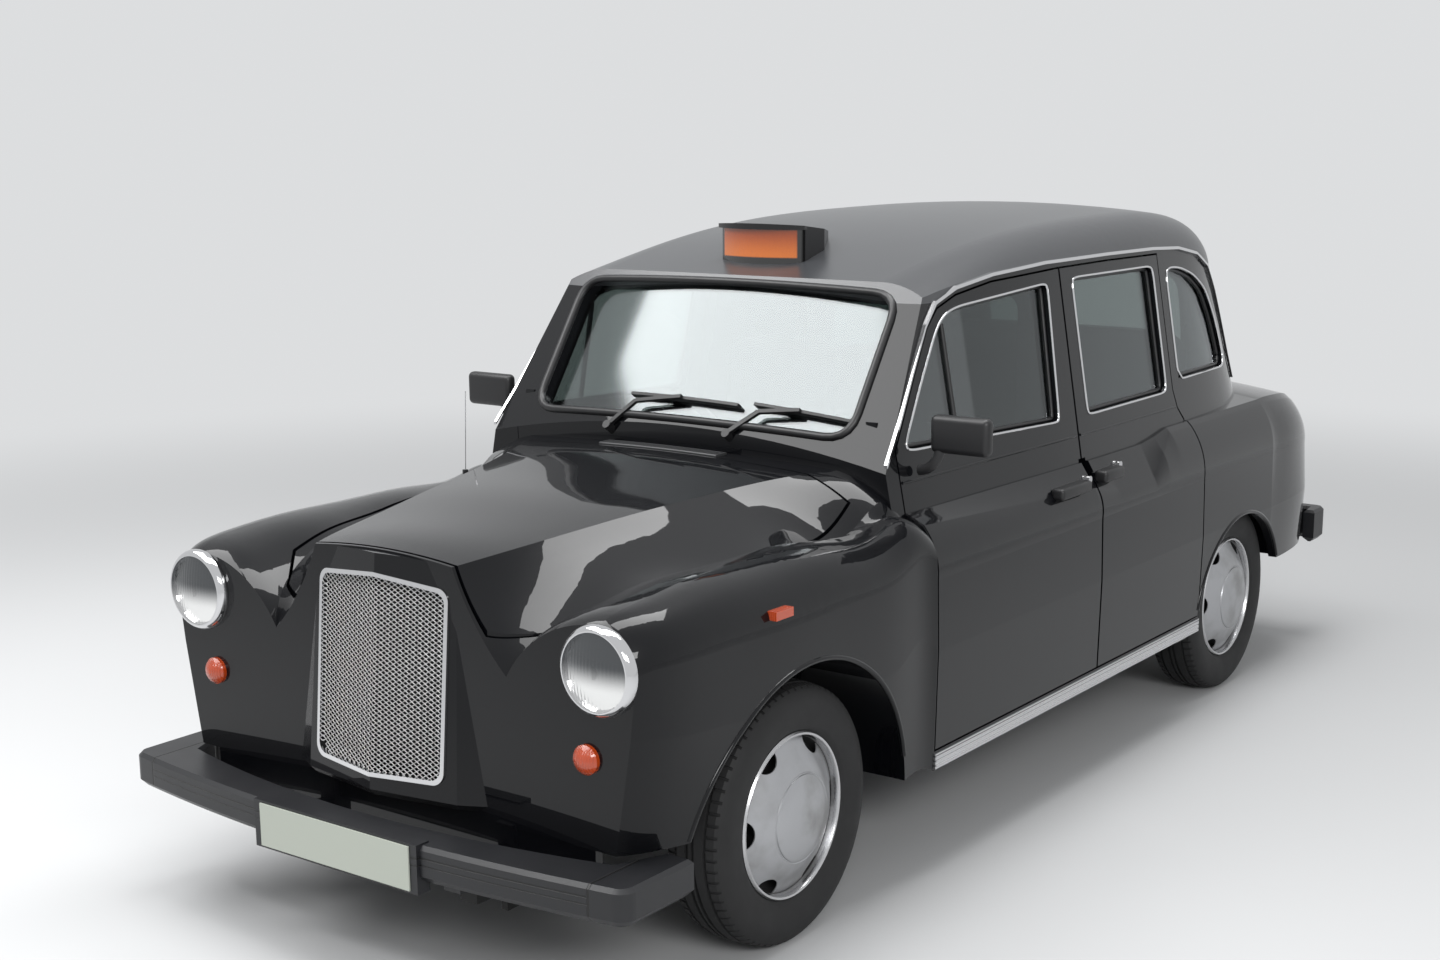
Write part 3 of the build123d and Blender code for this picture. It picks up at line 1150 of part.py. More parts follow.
with BuildPart() as wipers:
    for pivot, elbow, blade_from, blade_to in WIPERS:
        middle = ((blade_from[0] + blade_to[0]) / 2, (blade_from[1] + blade_to[1]) / 2)
        add(screen_strip(bar_outline(blade_from, blade_to, 9), -9, SCREEN_SETBACK - 2))
        add(screen_strip(bar_outline(pivot, elbow, 13), -20, -9))
        add(screen_strip(bar_outline(elbow, middle, 11), -20, -8))
        with BuildSketch(glass_plane.offset(-14)):
            with Locations((pivot[0], -pivot[1])):
                Circle(13)
        extrude(amount=40)
    add(cabin_frame.part, mode=Mode.SUBTRACT)
    add(scuttle_panel.part, mode=Mode.SUBTRACT)
keep(wipers.part, "wipers")

# Bright trim: the drip rail along the gutter and a tread strip on each sill
with BuildPart() as bright_trim:
    add(lofted(UPPER_SECTIONS, upper_outline, inset=-9))
    add(side_prism(tuple((y, z + 5) for y, z in GUTTER_LINE)
                   + tuple((y, z - 5) for y, z in reversed(GUTTER_LINE)), 300, 900), mode=Mode.INTERSECT)
    add(upper_skin, mode=Mode.SUBTRACT)
    add(flank_skin, mode=Mode.SUBTRACT)
    add(front_skin, mode=Mode.SUBTRACT)
    add(block(830, 844, DOOR_FRONT_Y + 2, DOOR_REAR_Y - 4, SILL_BOTTOM_Z + 4, SILL_Z - 6))
    add(flank_skin, mode=Mode.SUBTRACT)
    add(block(780, 838, DOOR_FRONT_Y, DOOR_REAR_Y, SILL_BOTTOM_Z, SILL_Z), mode=Mode.SUBTRACT)
    mirror(about=Plane.YZ)
keep(bright_trim.part, "bright_trim")

# Door mirrors, each on an arm at the front corner of its door's window
with BuildPart() as mirror_left:
    add(block(768, 948, -778, -736, 1172, 1276, edge=14))
    add(block(690, 800, -768, -746, 1126, 1146))
    add(block(778, 800, -768, -746, 1126, 1185))
    add(body_skin.part, mode=Mode.SUBTRACT)
keep(mirror_left.part, "mirror_left")
keep(mirrored(mirror_left.part), "mirror_right")
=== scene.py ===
# %% [markdown]
# # A purpose-built taxi cab, dressed for a photograph
#
# The solid parts of the cab come from the CAD model, already in metres and in their places. This
# lesson adds what a CAD model leaves out: paint, glass and chrome, the tread on the tyres, rubber
# seals, trim, upholstery, and the light and camera that show it.
#
# The cab stands on z = 0, its nose points to -Y, and +X is its left side.

import math

import bmesh
import bpy
from mathutils import Matrix, Vector
from mathutils.bvhtree import BVHTree


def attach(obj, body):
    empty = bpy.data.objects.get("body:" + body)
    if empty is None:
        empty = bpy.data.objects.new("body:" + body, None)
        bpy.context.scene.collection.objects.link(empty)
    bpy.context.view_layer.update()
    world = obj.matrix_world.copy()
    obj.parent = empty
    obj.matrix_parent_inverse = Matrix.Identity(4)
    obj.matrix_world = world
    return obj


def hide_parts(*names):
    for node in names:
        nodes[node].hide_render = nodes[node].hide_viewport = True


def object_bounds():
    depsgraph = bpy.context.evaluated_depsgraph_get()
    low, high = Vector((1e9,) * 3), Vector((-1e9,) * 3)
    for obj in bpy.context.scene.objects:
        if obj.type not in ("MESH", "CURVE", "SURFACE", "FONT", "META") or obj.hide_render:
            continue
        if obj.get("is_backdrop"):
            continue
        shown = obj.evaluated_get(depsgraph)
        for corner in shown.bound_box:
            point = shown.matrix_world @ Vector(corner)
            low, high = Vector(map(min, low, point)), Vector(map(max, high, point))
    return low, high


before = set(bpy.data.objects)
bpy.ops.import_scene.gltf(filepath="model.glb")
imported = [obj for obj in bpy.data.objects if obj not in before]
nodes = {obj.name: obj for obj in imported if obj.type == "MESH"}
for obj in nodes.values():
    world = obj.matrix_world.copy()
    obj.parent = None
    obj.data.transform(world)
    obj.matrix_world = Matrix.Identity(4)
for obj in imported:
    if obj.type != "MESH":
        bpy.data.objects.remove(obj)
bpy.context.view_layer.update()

# %% [markdown]
# ## Camera
#
# The picture was taken from the cab's front left, a little above head height, with a normal lens.
# A camera can be aimed with a constraint or by an exact matrix. The matrix is used here, because the
# view has to match a photograph to the pixel: its columns are the camera's right, up and back.
# The small shifts move the optical axis off the middle, as a cropped photograph does.

# %% Camera
LENS, SENSOR = 48.8, 36
SHIFT = (0.00985, 0.02868)


def placed(name, data):
    """A new object in the scene, holding the data given."""
    made = bpy.data.objects.new(name, data)
    bpy.context.scene.collection.objects.link(made)
    return made


camera_data = bpy.data.cameras.new("camera")
camera_data.lens, camera_data.sensor_width = LENS, SENSOR
camera_data.shift_x, camera_data.shift_y = SHIFT
camera_data.clip_end = 400
camera = placed("camera", camera_data)
camera.matrix_world = Matrix((
    (0.801665, -0.113362, 0.586926, 3.4165),
    (0.597703, 0.167034, -0.784124, -5.3291),
    (-0.009147, 0.979412, 0.201662, 2.0647),
    (0, 0, 0, 1),
))
bpy.context.scene.camera = camera
print("camera:", [round(v, 2) for v in camera.location])

# %% [markdown]
# ## Studio lights
#
# Black gloss paint shows only what it reflects, so the light matters more than the colour. One way is
# a picture of a sky; here three large soft lights do the same work. The first lights from above, the
# second from the camera's side, and the third hangs where the windscreen mirrors it, because
# the glass on the real cab shows mostly sky.

# %% Three soft lights
def soft_light(name, location, target, width, height, power):
    light = bpy.data.lights.new(name, "AREA")
    light.shape = "RECTANGLE"
    light.size, light.size_y, light.energy = width, height, power
    made = placed(name, light)
    made.location = location
    made.rotation_mode = "QUATERNION"
    made.rotation_quaternion = (Vector(target) - Vector(location)).to_track_quat("-Z", "Y")


LIGHTS = (
    # name, place, aimed at, width, height, power
    ("overhead", (0.5, -0.2, 6.5), (0.2, -0.1, 0.8), 6, 2.2, 320),
    ("front_left", (6.5, -6.0, 4.5), (0, -0.5, 0.7), 5, 1.7, 330),
    ("screen_sky", (-2.7, -3.5, 5.8), (-2.1, -2.9, 1.0), 5.6, 3.2, 330),
)
for row in LIGHTS:
    soft_light(*row)
print("lights:", len(LIGHTS))

# %% [markdown]
# ## Shader and geometry maths without tangles
#
# Node graphs are easy to draw but long to write. A tiny wrapper lets sockets be added and multiplied
# like numbers, and one method makes a node, sets its inputs and returns its first output. Everything
# after this reads like ordinary arithmetic, for shaders and for Geometry Nodes alike.

# %% A small language for nodes
class Socket:
    """An output socket that can be used in arithmetic, also after a number, so that 1 - mask works."""

    def __init__(self, graph, socket):
        self.graph, self.socket = graph, socket

    def maths(self, operation, *others):
        return self.graph.node("ShaderNodeMath", self, *others, operation=operation)

    def __add__(self, other):
        return self.maths("ADD", other)

    def __sub__(self, other):
        return self.maths("SUBTRACT", other)

    def __rsub__(self, other):
        return self.graph.node("ShaderNodeMath", other, self, operation="SUBTRACT")

    def __mul__(self, other):
        return self.maths("MULTIPLY", other)

    def __truediv__(self, other):
        return self.maths("DIVIDE", other)

    __radd__, __rmul__ = __add__, __mul__


class Graph:
    """The nodes of one material, world or geometry tree."""

    def __init__(self, tree):
        self.tree = tree
        tree.nodes.clear()

    def feed(self, socket, value):
        if isinstance(value, Socket):
            self.tree.links.new(value.socket, socket)
        elif isinstance(value, tuple) and socket.type == "RGBA" and len(value) == 3:
            socket.default_value = (*value, 1)
        else:
            socket.default_value = value

    def node(self, kind, *inputs, output=0, **named):
        """Makes a node. Names in lower case are its settings; the rest are inputs, by place or by name."""
        made = self.tree.nodes.new(kind)
        for name, value in named.items():
            if name.islower():
                setattr(made, name, value)
        for socket, value in zip(made.inputs, inputs):
            self.feed(socket, value)
        for name, value in named.items():
            if not name.islower():
                self.feed(made.inputs[name], value)
        return Socket(self, made.outputs[output]) if len(made.outputs) else None

    def parts(self, vector):
        """The three numbers of a vector."""
        split = self.node("ShaderNodeSeparateXYZ", vector)
        return (Socket(self, split.socket.node.outputs[i]) for i in range(3))

    def place(self):
        """The place on the object, in metres."""
        return self.node("ShaderNodeTexCoord", output=3)

    def xyz(self):
        """The same place as three numbers."""
        return self.parts(self.place())

    def waves(self, value, pitch):
        """A wave between -1 and 1 that comes back every pitch."""
        return (value * (2 * math.pi / pitch)).maths("SINE")

    def noise(self, place, scale, detail=2.0):
        return self.node("ShaderNodeTexNoise", Vector=place, Scale=scale, Detail=detail)

    def step(self, value, low, high):
        """0 below low, 1 above high and smooth between."""
        return self.node("ShaderNodeMapRange", value, low, high, 0.0, 1.0, interpolation_type="SMOOTHSTEP")

    def band(self, value, middle, half, soft):
        """1 within half of middle, and 0 outside it."""
        away = (value - middle).maths("ABSOLUTE")
        return self.step(away, half + soft, half)

    def mix(self, factor, first, second):
        made = self.tree.nodes.new("ShaderNodeMix")
        made.data_type = "RGBA"
        for index, value in ((0, factor), (6, first), (7, second)):
            self.feed(made.inputs[index], value)
        return Socket(self, made.outputs[2])

    def bump(self, height, strength, distance):
        return self.node("ShaderNodeBump", Height=height, Strength=strength, Distance=distance)


def empty_material(name):
    made = bpy.data.materials.new(name)
    made.use_nodes = True
    return made, Graph(made.node_tree)


def material(name, colour, roughness, build=None, **settings):
    """One principled shader: settings are its even inputs, and build makes those that vary."""
    made, graph = empty_material(name)
    made.diffuse_color = (*colour, 1)
    values = {"Base Color": colour, "Roughness": roughness, **settings, **(build(graph) if build else {})}
    graph.node("ShaderNodeOutputMaterial", graph.node("ShaderNodeBsdfPrincipled", **values))
    return made


print("helpers ready")

# %% [markdown]
# ## A floor without a horizon
#
# A photographer's backdrop is one sheet that curves up behind the object, so no edge shows. The same
# look comes cheaper here: the floor is a wide plain sheet, and its shader turns into the colour of
# the background a few metres out. Near the cab it is ordinary matt grey that takes the shadow. Light
# Path tells camera, mirror and glass rays from the rest, so they all see the same pale background
# while the light on the cab stays plain.

# %% Floor and background
BACKGROUND = (0.72, 0.73, 0.74)
FLOOR_GREY = (0.56, 0.565, 0.57)
SKY_LIGHT = 0.62
FLOOR_HALF = 150
FADE_FROM, FADE_TO = 3.2, 9.0


def brightness(graph):
    """1 for rays from the camera, from mirrors and through glass, and SKY_LIGHT for the rest."""
    path = graph.node("ShaderNodeLightPath").socket.node
    total = Socket(graph, path.outputs["Is Camera Ray"]) + Socket(graph, path.outputs["Is Glossy Ray"])
    seen = (total + Socket(graph, path.outputs["Is Transmission Ray"])).maths("MINIMUM", 1.0)
    return SKY_LIGHT + (1 - SKY_LIGHT) * seen


world = bpy.data.worlds.new("studio")
bpy.context.scene.world = world
world.use_nodes = True
sky = Graph(world.node_tree)
sky.node("ShaderNodeOutputWorld", sky.node("ShaderNodeBackground", BACKGROUND, brightness(sky)))
bpy.context.scene.view_settings.view_transform = "Standard"


def mesh_object(name, vertices, faces, smooth=False):
    """A new mesh object with its place in its vertices."""
    mesh = bpy.data.meshes.new(name)
    mesh.from_pydata(vertices, [], faces)
    mesh.update()
    mesh.polygons.foreach_set("use_smooth", [smooth] * len(mesh.polygons))
    return placed(name, mesh)


floor_corners = [(x * FLOOR_HALF, y * FLOOR_HALF, 0) for x, y in ((-1, -1), (1, -1), (1, 1), (-1, 1))]
floor = mesh_object("floor", floor_corners, [(0, 1, 2, 3)])
floor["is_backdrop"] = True
concrete, ground = empty_material("studio_floor")
x, y, z = ground.xyz()
far_out = ground.step((x * x + y * y).maths("SQRT"), FADE_FROM, FADE_TO)
matt = ground.node("ShaderNodeBsdfDiffuse", FLOOR_GREY)
glow = ground.node("ShaderNodeEmission", BACKGROUND, brightness(ground))
ground.node("ShaderNodeOutputMaterial", ground.node("ShaderNodeMixShader", far_out, matt, glow))
floor.data.materials.append(concrete)
print("background:", BACKGROUND)

# %% [markdown]
# ## Finishes
#
# Each finish on the real cab becomes one material. The body is deep gloss black, so it gets a dark
# base under a clear coat. The roof is a satin black and shows a fine grain. Chrome is bare metal
# with almost no roughness. Rubber and plastics are rough, and get a little noise in their roughness
# so that they don't look like one flat tone.

# %% Plain finishes
def grain(scale, strength, distance=0.0006):
    """A fine bump over the whole surface."""
    def build(graph):
        return {"Normal": graph.bump(graph.noise(graph.place(), scale), strength, distance)}
    return build


def dusty(low, high, scale=6.0):
    """Roughness that wanders between two values."""
    def build(graph):
        return {"Roughness": low + (high - low) * graph.noise(graph.place(), scale, 4.0)}
    return build


GLOSS = {"Coat Weight": 1.0, "Coat Roughness": 0.02, "Coat IOR": 1.36, "Specular IOR Level": 0.05}
CLEAR_COAT = {"Coat Weight": 1.0}
paint = material("body_paint", (0.0022, 0.0024, 0.0034), 0.4, **GLOSS)
roof_paint = material("roof_paint", (0.034, 0.036, 0.040), 0.30, build=grain(420.0, 0.15),
                      **{"Specular IOR Level": 0.8})
chrome = material("chrome", (0.68, 0.68, 0.69), 0.07, Metallic=1.0)
dull_steel = material("dull_steel", (0.66, 0.66, 0.66), 0.28, Metallic=1.0)
black_plastic = material("black_plastic", (0.010, 0.010, 0.011), 0.42, build=dusty(0.36, 0.5))
rubber_seal = material("rubber_seal", (0.009, 0.009, 0.010), 0.38)
sign_black = material("sign_black", (0.006, 0.006, 0.007), 0.25)
plate = material("plate", (0.45, 0.48, 0.42), 0.35)
vinyl = material("seat_vinyl", (0.03, 0.03, 0.034), 0.5, build=grain(600.0, 0.3))
carpet = material("floor_covering", (0.02, 0.02, 0.022), 0.9)
underbody = material("underbody", (0.012, 0.012, 0.012), 0.75)
cast_metal = material("cast_metal", (0.10, 0.10, 0.10), 0.7, Metallic=0.6)
exhaust_metal = material("exhaust_metal", (0.25, 0.22, 0.19), 0.55, Metallic=0.8)
print("materials:", len(bpy.data.materials))

# %% [markdown]
# The bumpers are dark grey moulded plastic. A real one has separate end caps and two thin grooves
# along its face. Grooves this fine could be cut into the mesh, but a bump with a line of painted shade
# needs no geometry, and the painted shade keeps it visible in soft light. The joints to the end caps
# are drawn as dark lines too. The bright strip along the sill is ribbed, with painted shade in its
# grooves, and the tail lamps are moulded in three colours: both are done in the same way.

# %% Bumper, trim and tyre finishes
CAP_JOINT_X = 0.759
GROOVE_Z, GROOVE_GAP = 0.376, 0.018
BUMPER_FACE_Y = 2.20
SILL_TOP_Z, SILL_RIB_PITCH = 0.36, 0.0135
AMBER_FROM_Z, CLEAR_TO_Z = 0.70, 0.625
RIB_DEPTH = 0.0006
# the bumper's line colour: dark at the end cap joints, and painted shade in the grooves
BUMPER_GREY, JOINT_BLACK_GROOVE_SHADE = (0.011, 0.0115, 0.0135), (0.003, 0.003, 0.003)
# the sill's dark stripes are painted shade in its grooves
TRIM_BRIGHT, TRIM_GROOVE_SHADE = (0.66, 0.66, 0.67), (0.10, 0.10, 0.105)
TAIL_AMBER, TAIL_RED, TAIL_CLEAR = (0.50, 0.085, 0.006), (0.40, 0.008, 0.008), (0.55, 0.54, 0.52)


def bumper_lines(graph):
    place = graph.place()
    x, y, z = graph.parts(place)
    joint = graph.band(x.maths("ABSOLUTE"), CAP_JOINT_X, 0.002, 0.002)
    lower = graph.band(z, GROOVE_Z - GROOVE_GAP, 0.001, 0.001)
    grooves = graph.band(z, GROOVE_Z, 0.0016, 0.0012).maths("MAXIMUM", lower)
    inside = graph.step(x.maths("ABSOLUTE"), CAP_JOINT_X, CAP_JOINT_X - 0.003)
    face = graph.step(y.maths("ABSOLUTE"), BUMPER_FACE_Y - 0.01, BUMPER_FACE_Y)
    # painted shade: the grooves are coloured near black for the shade in them; the cap joints are dark joints
    line = joint.maths("MAXIMUM", grooves * inside * face)
    return {"Base Color": graph.mix(line, BUMPER_GREY, JOINT_BLACK_GROOVE_SHADE),
            "Roughness": 0.34 + 0.14 * graph.noise(place, 9.0, 4.0),
            "Normal": graph.bump(1 - line, 1.0, 0.002)}


def sill_grooves(graph):
    x, y, z = graph.xyz()
    on_sill = graph.step(z, SILL_TOP_Z + 0.01, SILL_TOP_Z)
    # painted shade: the grooves between the sill's ribs are coloured dark
    grooves = (graph.waves(z, SILL_RIB_PITCH) * 0.5 + 0.5).maths("POWER", 3.0) * on_sill
    return {"Base Color": graph.mix(grooves, TRIM_BRIGHT, TRIM_GROOVE_SHADE), "Roughness": 0.08 + 0.2 * on_sill}


def lamp_bands(graph):
    """A tail lamp from the top: amber, red, and a pale band for reversing."""
    x, y, z = graph.xyz()
    upper = graph.mix(graph.step(z, AMBER_FROM_Z - 0.0015, AMBER_FROM_Z + 0.0005), TAIL_RED, TAIL_AMBER)
    colour = graph.mix(graph.step(z, CLEAR_TO_Z + 0.0015, CLEAR_TO_Z - 0.0005), upper, TAIL_CLEAR)
    return {"Base Color": colour, "Normal": graph.bump(graph.waves(z, 0.006), 0.6, RIB_DEPTH)}


trim_metal = material("trim_metal", TRIM_BRIGHT, 0.08, Metallic=1.0, build=sill_grooves)
tail_lens = material("tail_lens", TAIL_RED, 0.15, build=lamp_bands, **CLEAR_COAT)
bumper_plastic = material("bumper_plastic", BUMPER_GREY, 0.42, build=bumper_lines)
rubber = material("tyre_rubber", (0.008, 0.008, 0.0085), 0.74, build=dusty(0.62, 0.82, 14.0))
print("grooves at", GROOVE_Z)

# %% [markdown]
# The wheels carry pressed covers in silver lacquer, dulled by road dust. The rim behind is a bright
# ring round a dish painted near black as the shade seen through the cover's openings. One shader
# tells ring from dish by the distance from the axle, which is the natural way for anything turned or
# spun.

# %% Wheel finishes
HUB_X, AXLE_Z = 0.711, 0.340
AXLES = {"front": -1.455, "rear": 1.355}
RING_FROM = 0.2035
SILVER, DUSTY_SILVER = (0.43, 0.435, 0.45), (0.30, 0.30, 0.30)
# the dish colour is painted shade, seen through the cover's openings
RING_METAL, DISH_SHADE = (0.55, 0.55, 0.56), (0.012, 0.012, 0.012)


def silver_lacquer(graph):
    place = graph.place()
    dust = graph.step(graph.noise(place, 7.0, 5.0), 0.42, 0.72)
    return {"Base Color": graph.mix(dust, SILVER, DUSTY_SILVER),
            "Roughness": 0.26 + 0.12 * dust + 0.15 * graph.noise(place, 30.0, 3.0)}


def ring_and_dish(axle_y):
    def build(graph):
        x, y, z = graph.xyz()
        across, up = y - axle_y, z - AXLE_Z
        radius = (across * across + up * up).maths("SQRT")
        ring = graph.step(radius, RING_FROM - 0.002, RING_FROM)
        # painted shade: the dish inside the ring is coloured near black
        return {"Base Color": graph.mix(ring, DISH_SHADE, RING_METAL),
                "Metallic": ring, "Roughness": 0.6 - 0.35 * ring}
    return build


cover_silver = material("cover_silver", SILVER, 0.35, Metallic=0.75, build=silver_lacquer)
rim_finish = {place: material(f"wheel_rim_{place}", RING_METAL, 0.3, build=ring_and_dish(axle_y))
              for place, axle_y in AXLES.items()}
print("wheel finishes:", 1 + len(rim_finish))

# %% [markdown]
# Lamp lenses are clear, with upright flutes moulded in, over a silvered bowl. A full glass lens with
# a reflector behind it renders slowly and noisily, so the lens is drawn as what one sees: a bright
# metal bowl, dark towards the top where it mirrors the inside of the lamp, under a fluted clear
# coat. The roof sign's lens is a blank amber one, black along its lower edge and sides, with painted
# shade that darkens it towards the top. Window glass is thin, so it needs no bending of light: what
# comes straight through is mixed with what is mirrored.

# %% Lenses and glass
LAMP_Z = 0.853
WINDSCREEN_BACK_Y, WINDSCREEN_HALF = -0.40, 0.750
# the share of light that glass mirrors: seen flat on, added by wiping, and added by an edge-on view
FLAT_ON, WIPED, EDGE_ON = 0.045, 0.05, 0.9


def ribs_across(pitch, depth):
    """Upright ribs, as moulded in a lamp's lens."""
    def build(graph):
        x, y, z = graph.xyz()
        return {"Normal": graph.bump(graph.waves(x, pitch), 1.0, depth)}
    return build


def lamp_bowl(graph):
    x, y, z = graph.xyz()
    low = graph.step(z, LAMP_Z + 0.02, LAMP_Z - 0.045)
    return {"Base Color": graph.mix(low, (0.075, 0.08, 0.085), (0.84, 0.84, 0.83)),
            "Normal": graph.bump(graph.waves(x, 0.0105), 0.5, RIB_DEPTH)}


def sign_window(graph):
    """The sign's lens: amber in the middle, with painted shade that darkens it towards the top, and black
    along its lower edge and its sides.
    """
    corners = [Vector(corner) for corner in nodes["sign_lens"].bound_box]
    low, high = (pick(corner.z for corner in corners) for pick in (min, max))
    half = max(corner.x for corner in corners)
    x, y, z = graph.xyz()
    height = (z - low) / (high - low)
    inside = graph.step(height, 0.17, 0.22) * graph.step(x.maths("ABSOLUTE") / half, 0.94, 0.90)
    # painted shade: the amber is darker towards the top; nothing here gives off light
    glow = graph.mix(graph.step(height, 0.15, 0.95), (0.62, 0.150, 0.012), (0.36, 0.060, 0.006))
    return {"Base Color": graph.mix(inside, (0.008, 0.008, 0.008), glow),
            "Normal": graph.bump(graph.waves(x, 0.011), 0.3, RIB_DEPTH)}


lamp_lens = material("lamp_lens", (0.6, 0.6, 0.6), 0.14, Metallic=0.85, build=lamp_bowl,
                     **CLEAR_COAT, **{"Coat Roughness": 0.02})
amber = material("amber_lens", (0.47, 0.050, 0.004), 0.16, build=ribs_across(0.006, RIB_DEPTH), **CLEAR_COAT)
sign_amber = material("sign_amber", (0.56, 0.13, 0.01), 0.18, build=sign_window, **CLEAR_COAT)


def window_glass():
    """Thin glass: it lets the view through, darkened a little, and mirrors more at a flat angle.

    The windscreen has had years of wiping, so it mirrors the sky more strongly and less sharply.
    """
    made, graph = empty_material("window_glass")
    x, y, z = graph.xyz()
    ahead = graph.step(y, WINDSCREEN_BACK_Y + 0.02, WINDSCREEN_BACK_Y)
    windscreen = ahead * graph.step(x.maths("ABSOLUTE"), WINDSCREEN_HALF + 0.005, WINDSCREEN_HALF)
    edge_on = graph.node("ShaderNodeLayerWeight", 0.5, output=1)
    through = graph.node("ShaderNodeBsdfTransparent", (0.56, 0.60, 0.59))
    mirror = graph.node("ShaderNodeBsdfGlossy", (0.92, 0.95, 0.97), 0.05 + 0.05 * windscreen)
    mirrored = FLAT_ON + WIPED * windscreen + EDGE_ON * edge_on.maths("POWER", 4.0)
    graph.node("ShaderNodeOutputMaterial", graph.node("ShaderNodeMixShader", mirrored, through, mirror))
    return made


glass = window_glass()
print("lenses and glass ready")

# %% [markdown]
# ## Paint the CAD pieces
#
# Every CAD piece takes one finish, so a table of names is the clearest way. A name that ends in an
# underscore stands for all pieces that begin so. A material is only put into a piece's slot; the
# piece itself is never moved or changed.

# %% Give each piece its finish
FINISHES = (
    (paint, "bonnet boot_lid cabin_frame door_ front_wings nose_panel rear_quarters scuttle_panel "
            "tail_panel"),
    (roof_paint, "roof_panel"),
    (chrome, "grille_frame headlamp_rims"),
    (trim_metal, "bright_trim"),
    (dull_steel, "grille_mesh"),
    (glass, "fixed_glass glass_door_"),
    (lamp_lens, "headlamp_lenses"),
    (amber, "amber_lenses"),
    (sign_amber, "sign_lens"),
    (tail_lens, "tail_lamps"),
    (bumper_plastic, "front_bumper rear_bumper"),
    (plate, "plate_"),
    (black_plastic, "dashboard mirror_ partition steering_wheel wipers"),
    (sign_black, "sign_housing"),
    (vinyl, "driver_seat rear_seats"),
    (carpet, "floor_and_bulkhead"),
    (underbody, "chassis fuel_tank rear_axle"),
    (cast_metal, "engine_block knuckle_"),
    (exhaust_metal, "exhaust"),
    (rubber, "tyre_"),
    (cover_silver, "wheel_"),
)


def give(mesh, finish):
    """Makes finish the only material of a mesh."""
    mesh.materials.clear()
    mesh.materials.append(finish)


unpainted = set(nodes)
for finish, starts in FINISHES:
    for name in nodes:
        if name.startswith(tuple(starts.split())):
            give(nodes[name].data, finish)
            unpainted.discard(name)
print("left over:", sorted(unpainted))

# %% [markdown]
# ## Where the skin is
#
# Trim has to sit on panels that curve both ways. Its place could be worked out from the sections of
# the body, but it is easier to ask the finished panels: a ray is sent from outside, and where it
# hits is the skin. A search tree makes thousands of such questions quick.

# %% Asking the panels
SIDES = (("left", 1), ("right", -1))
BESIDE, ABOVE, BEHIND = 1.4, 1.6, 2.8


def skin_of(*names):
    """One search tree over the CAD pieces named."""
    vertices, faces = [], []
    for name in names:
        first = len(vertices)
        vertices += [vertex.co for vertex in nodes[name].data.vertices]
        faces += [[first + i for i in polygon.vertices] for polygon in nodes[name].data.polygons]
    return BVHTree.FromPolygons(vertices, faces)


def on_skin(tree, start, towards, proud=0.0):
    """Where a ray meets the skin, moved out from it by proud; None where it misses."""
    spot, normal, face, distance = tree.ray_cast(Vector(start), Vector(towards))
    return spot + normal * proud if spot else None


def from_side(tree, outline, side, proud=0.0):
    """A side view outline of (y, z), laid on the skin of one side."""
    found = (on_skin(tree, (side * BESIDE, y, z), (-side, 0, 0), proud) for y, z in outline)
    return [spot for spot in found if spot]


def rounded(corners, reach, steps=5):
    """A closed outline with its corners rounded off by a curve that starts reach away from them."""
    points = []
    for before, corner, after in zip(corners[-1:] + corners[:-1], corners, corners[1:] + corners[:1]):
        corner = Vector(corner)
        first, last = (corner + (Vector(other) - corner) * min(reach / (Vector(other) - corner).length, 0.49)
                       for other in (before, after))
        for i in range(steps + 1):
            t = i / steps
            points.append(first.lerp(corner, t).lerp(corner.lerp(last, t), t))
    return points


def outset(points, distance):
    """A convex outline moved outwards."""
    middle = sum(points, Vector((0, 0))) / len(points)
    moved = []
    for before, point, after in zip(points[-1:] + points[:-1], points, points[1:] + points[:1]):
        along = (after - before).normalized()
        out = Vector((along.y, -along.x))
        moved.append(point + out * (distance if out.dot(point - middle) > 0 else -distance))
    return moved


door_skin = {(place, side): skin_of(f"door_{place}_{side}") for place in AXLES for side, _ in SIDES}
found = on_skin(door_skin["front", "left"], (BESIDE, -0.3, 0.7), (-1, 0, 0))
print("skin at the front door:", [round(v, 3) for v in found])

# %% [markdown]
# ## A bead along a path
#
# Window frames, rubber seals and mouldings are all one thing: a round section swept along a line.
# A curve with a bevel would do it, but a Geometry Nodes tree keeps the sizes as named inputs and is
# used again for every strip on the cab. The tree turns edges into a curve, sweeps a circle along it,
# and ends by giving the mesh its finish.

# %% Geometry trees and how they are run
def geometry_tree(name, **inputs):
    """A new tree; its inputs are given as name=kind and come back as sockets."""
    tree = bpy.data.node_groups.new(name, "GeometryNodeTree")
    tree.interface.new_socket("Geometry", in_out="OUTPUT", socket_type="NodeSocketGeometry")
    for label, kind in {"Base": "Geometry", **inputs, "Finish": "Material"}.items():
        tree.interface.new_socket(label, in_out="INPUT", socket_type="NodeSocket" + kind)
    graph = Graph(tree)
    outputs = graph.node("NodeGroupInput").socket.node.outputs
    return graph, {label: Socket(graph, outputs[label]) for label in ("Base", *inputs, "Finish")}


def end_tree(graph, shape, finish):
    """Every tree ends by making its copies real and giving them their finish."""
    real = graph.node("GeometryNodeRealizeInstances", shape)
    graph.node("NodeGroupOutput", graph.node("GeometryNodeSetMaterial", real, Material=finish))


def grow(piece, graph, body, **values):
    """Runs a tree on a piece, keeps the result as its plain mesh, and lets it ride on a body."""
    modifier = piece.modifiers.new("grow", "NODES")
    modifier.node_group = graph.tree
    for item in graph.tree.interface.items_tree:
        if item.in_out == "INPUT" and item.name in values:
            modifier[item.identifier] = values[item.name]
    evaluated = piece.evaluated_get(bpy.context.evaluated_depsgraph_get())
    grown = bpy.data.meshes.new_from_object(evaluated)
    piece.modifiers.remove(modifier)
    piece.data = grown
    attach(piece, body)
    return piece


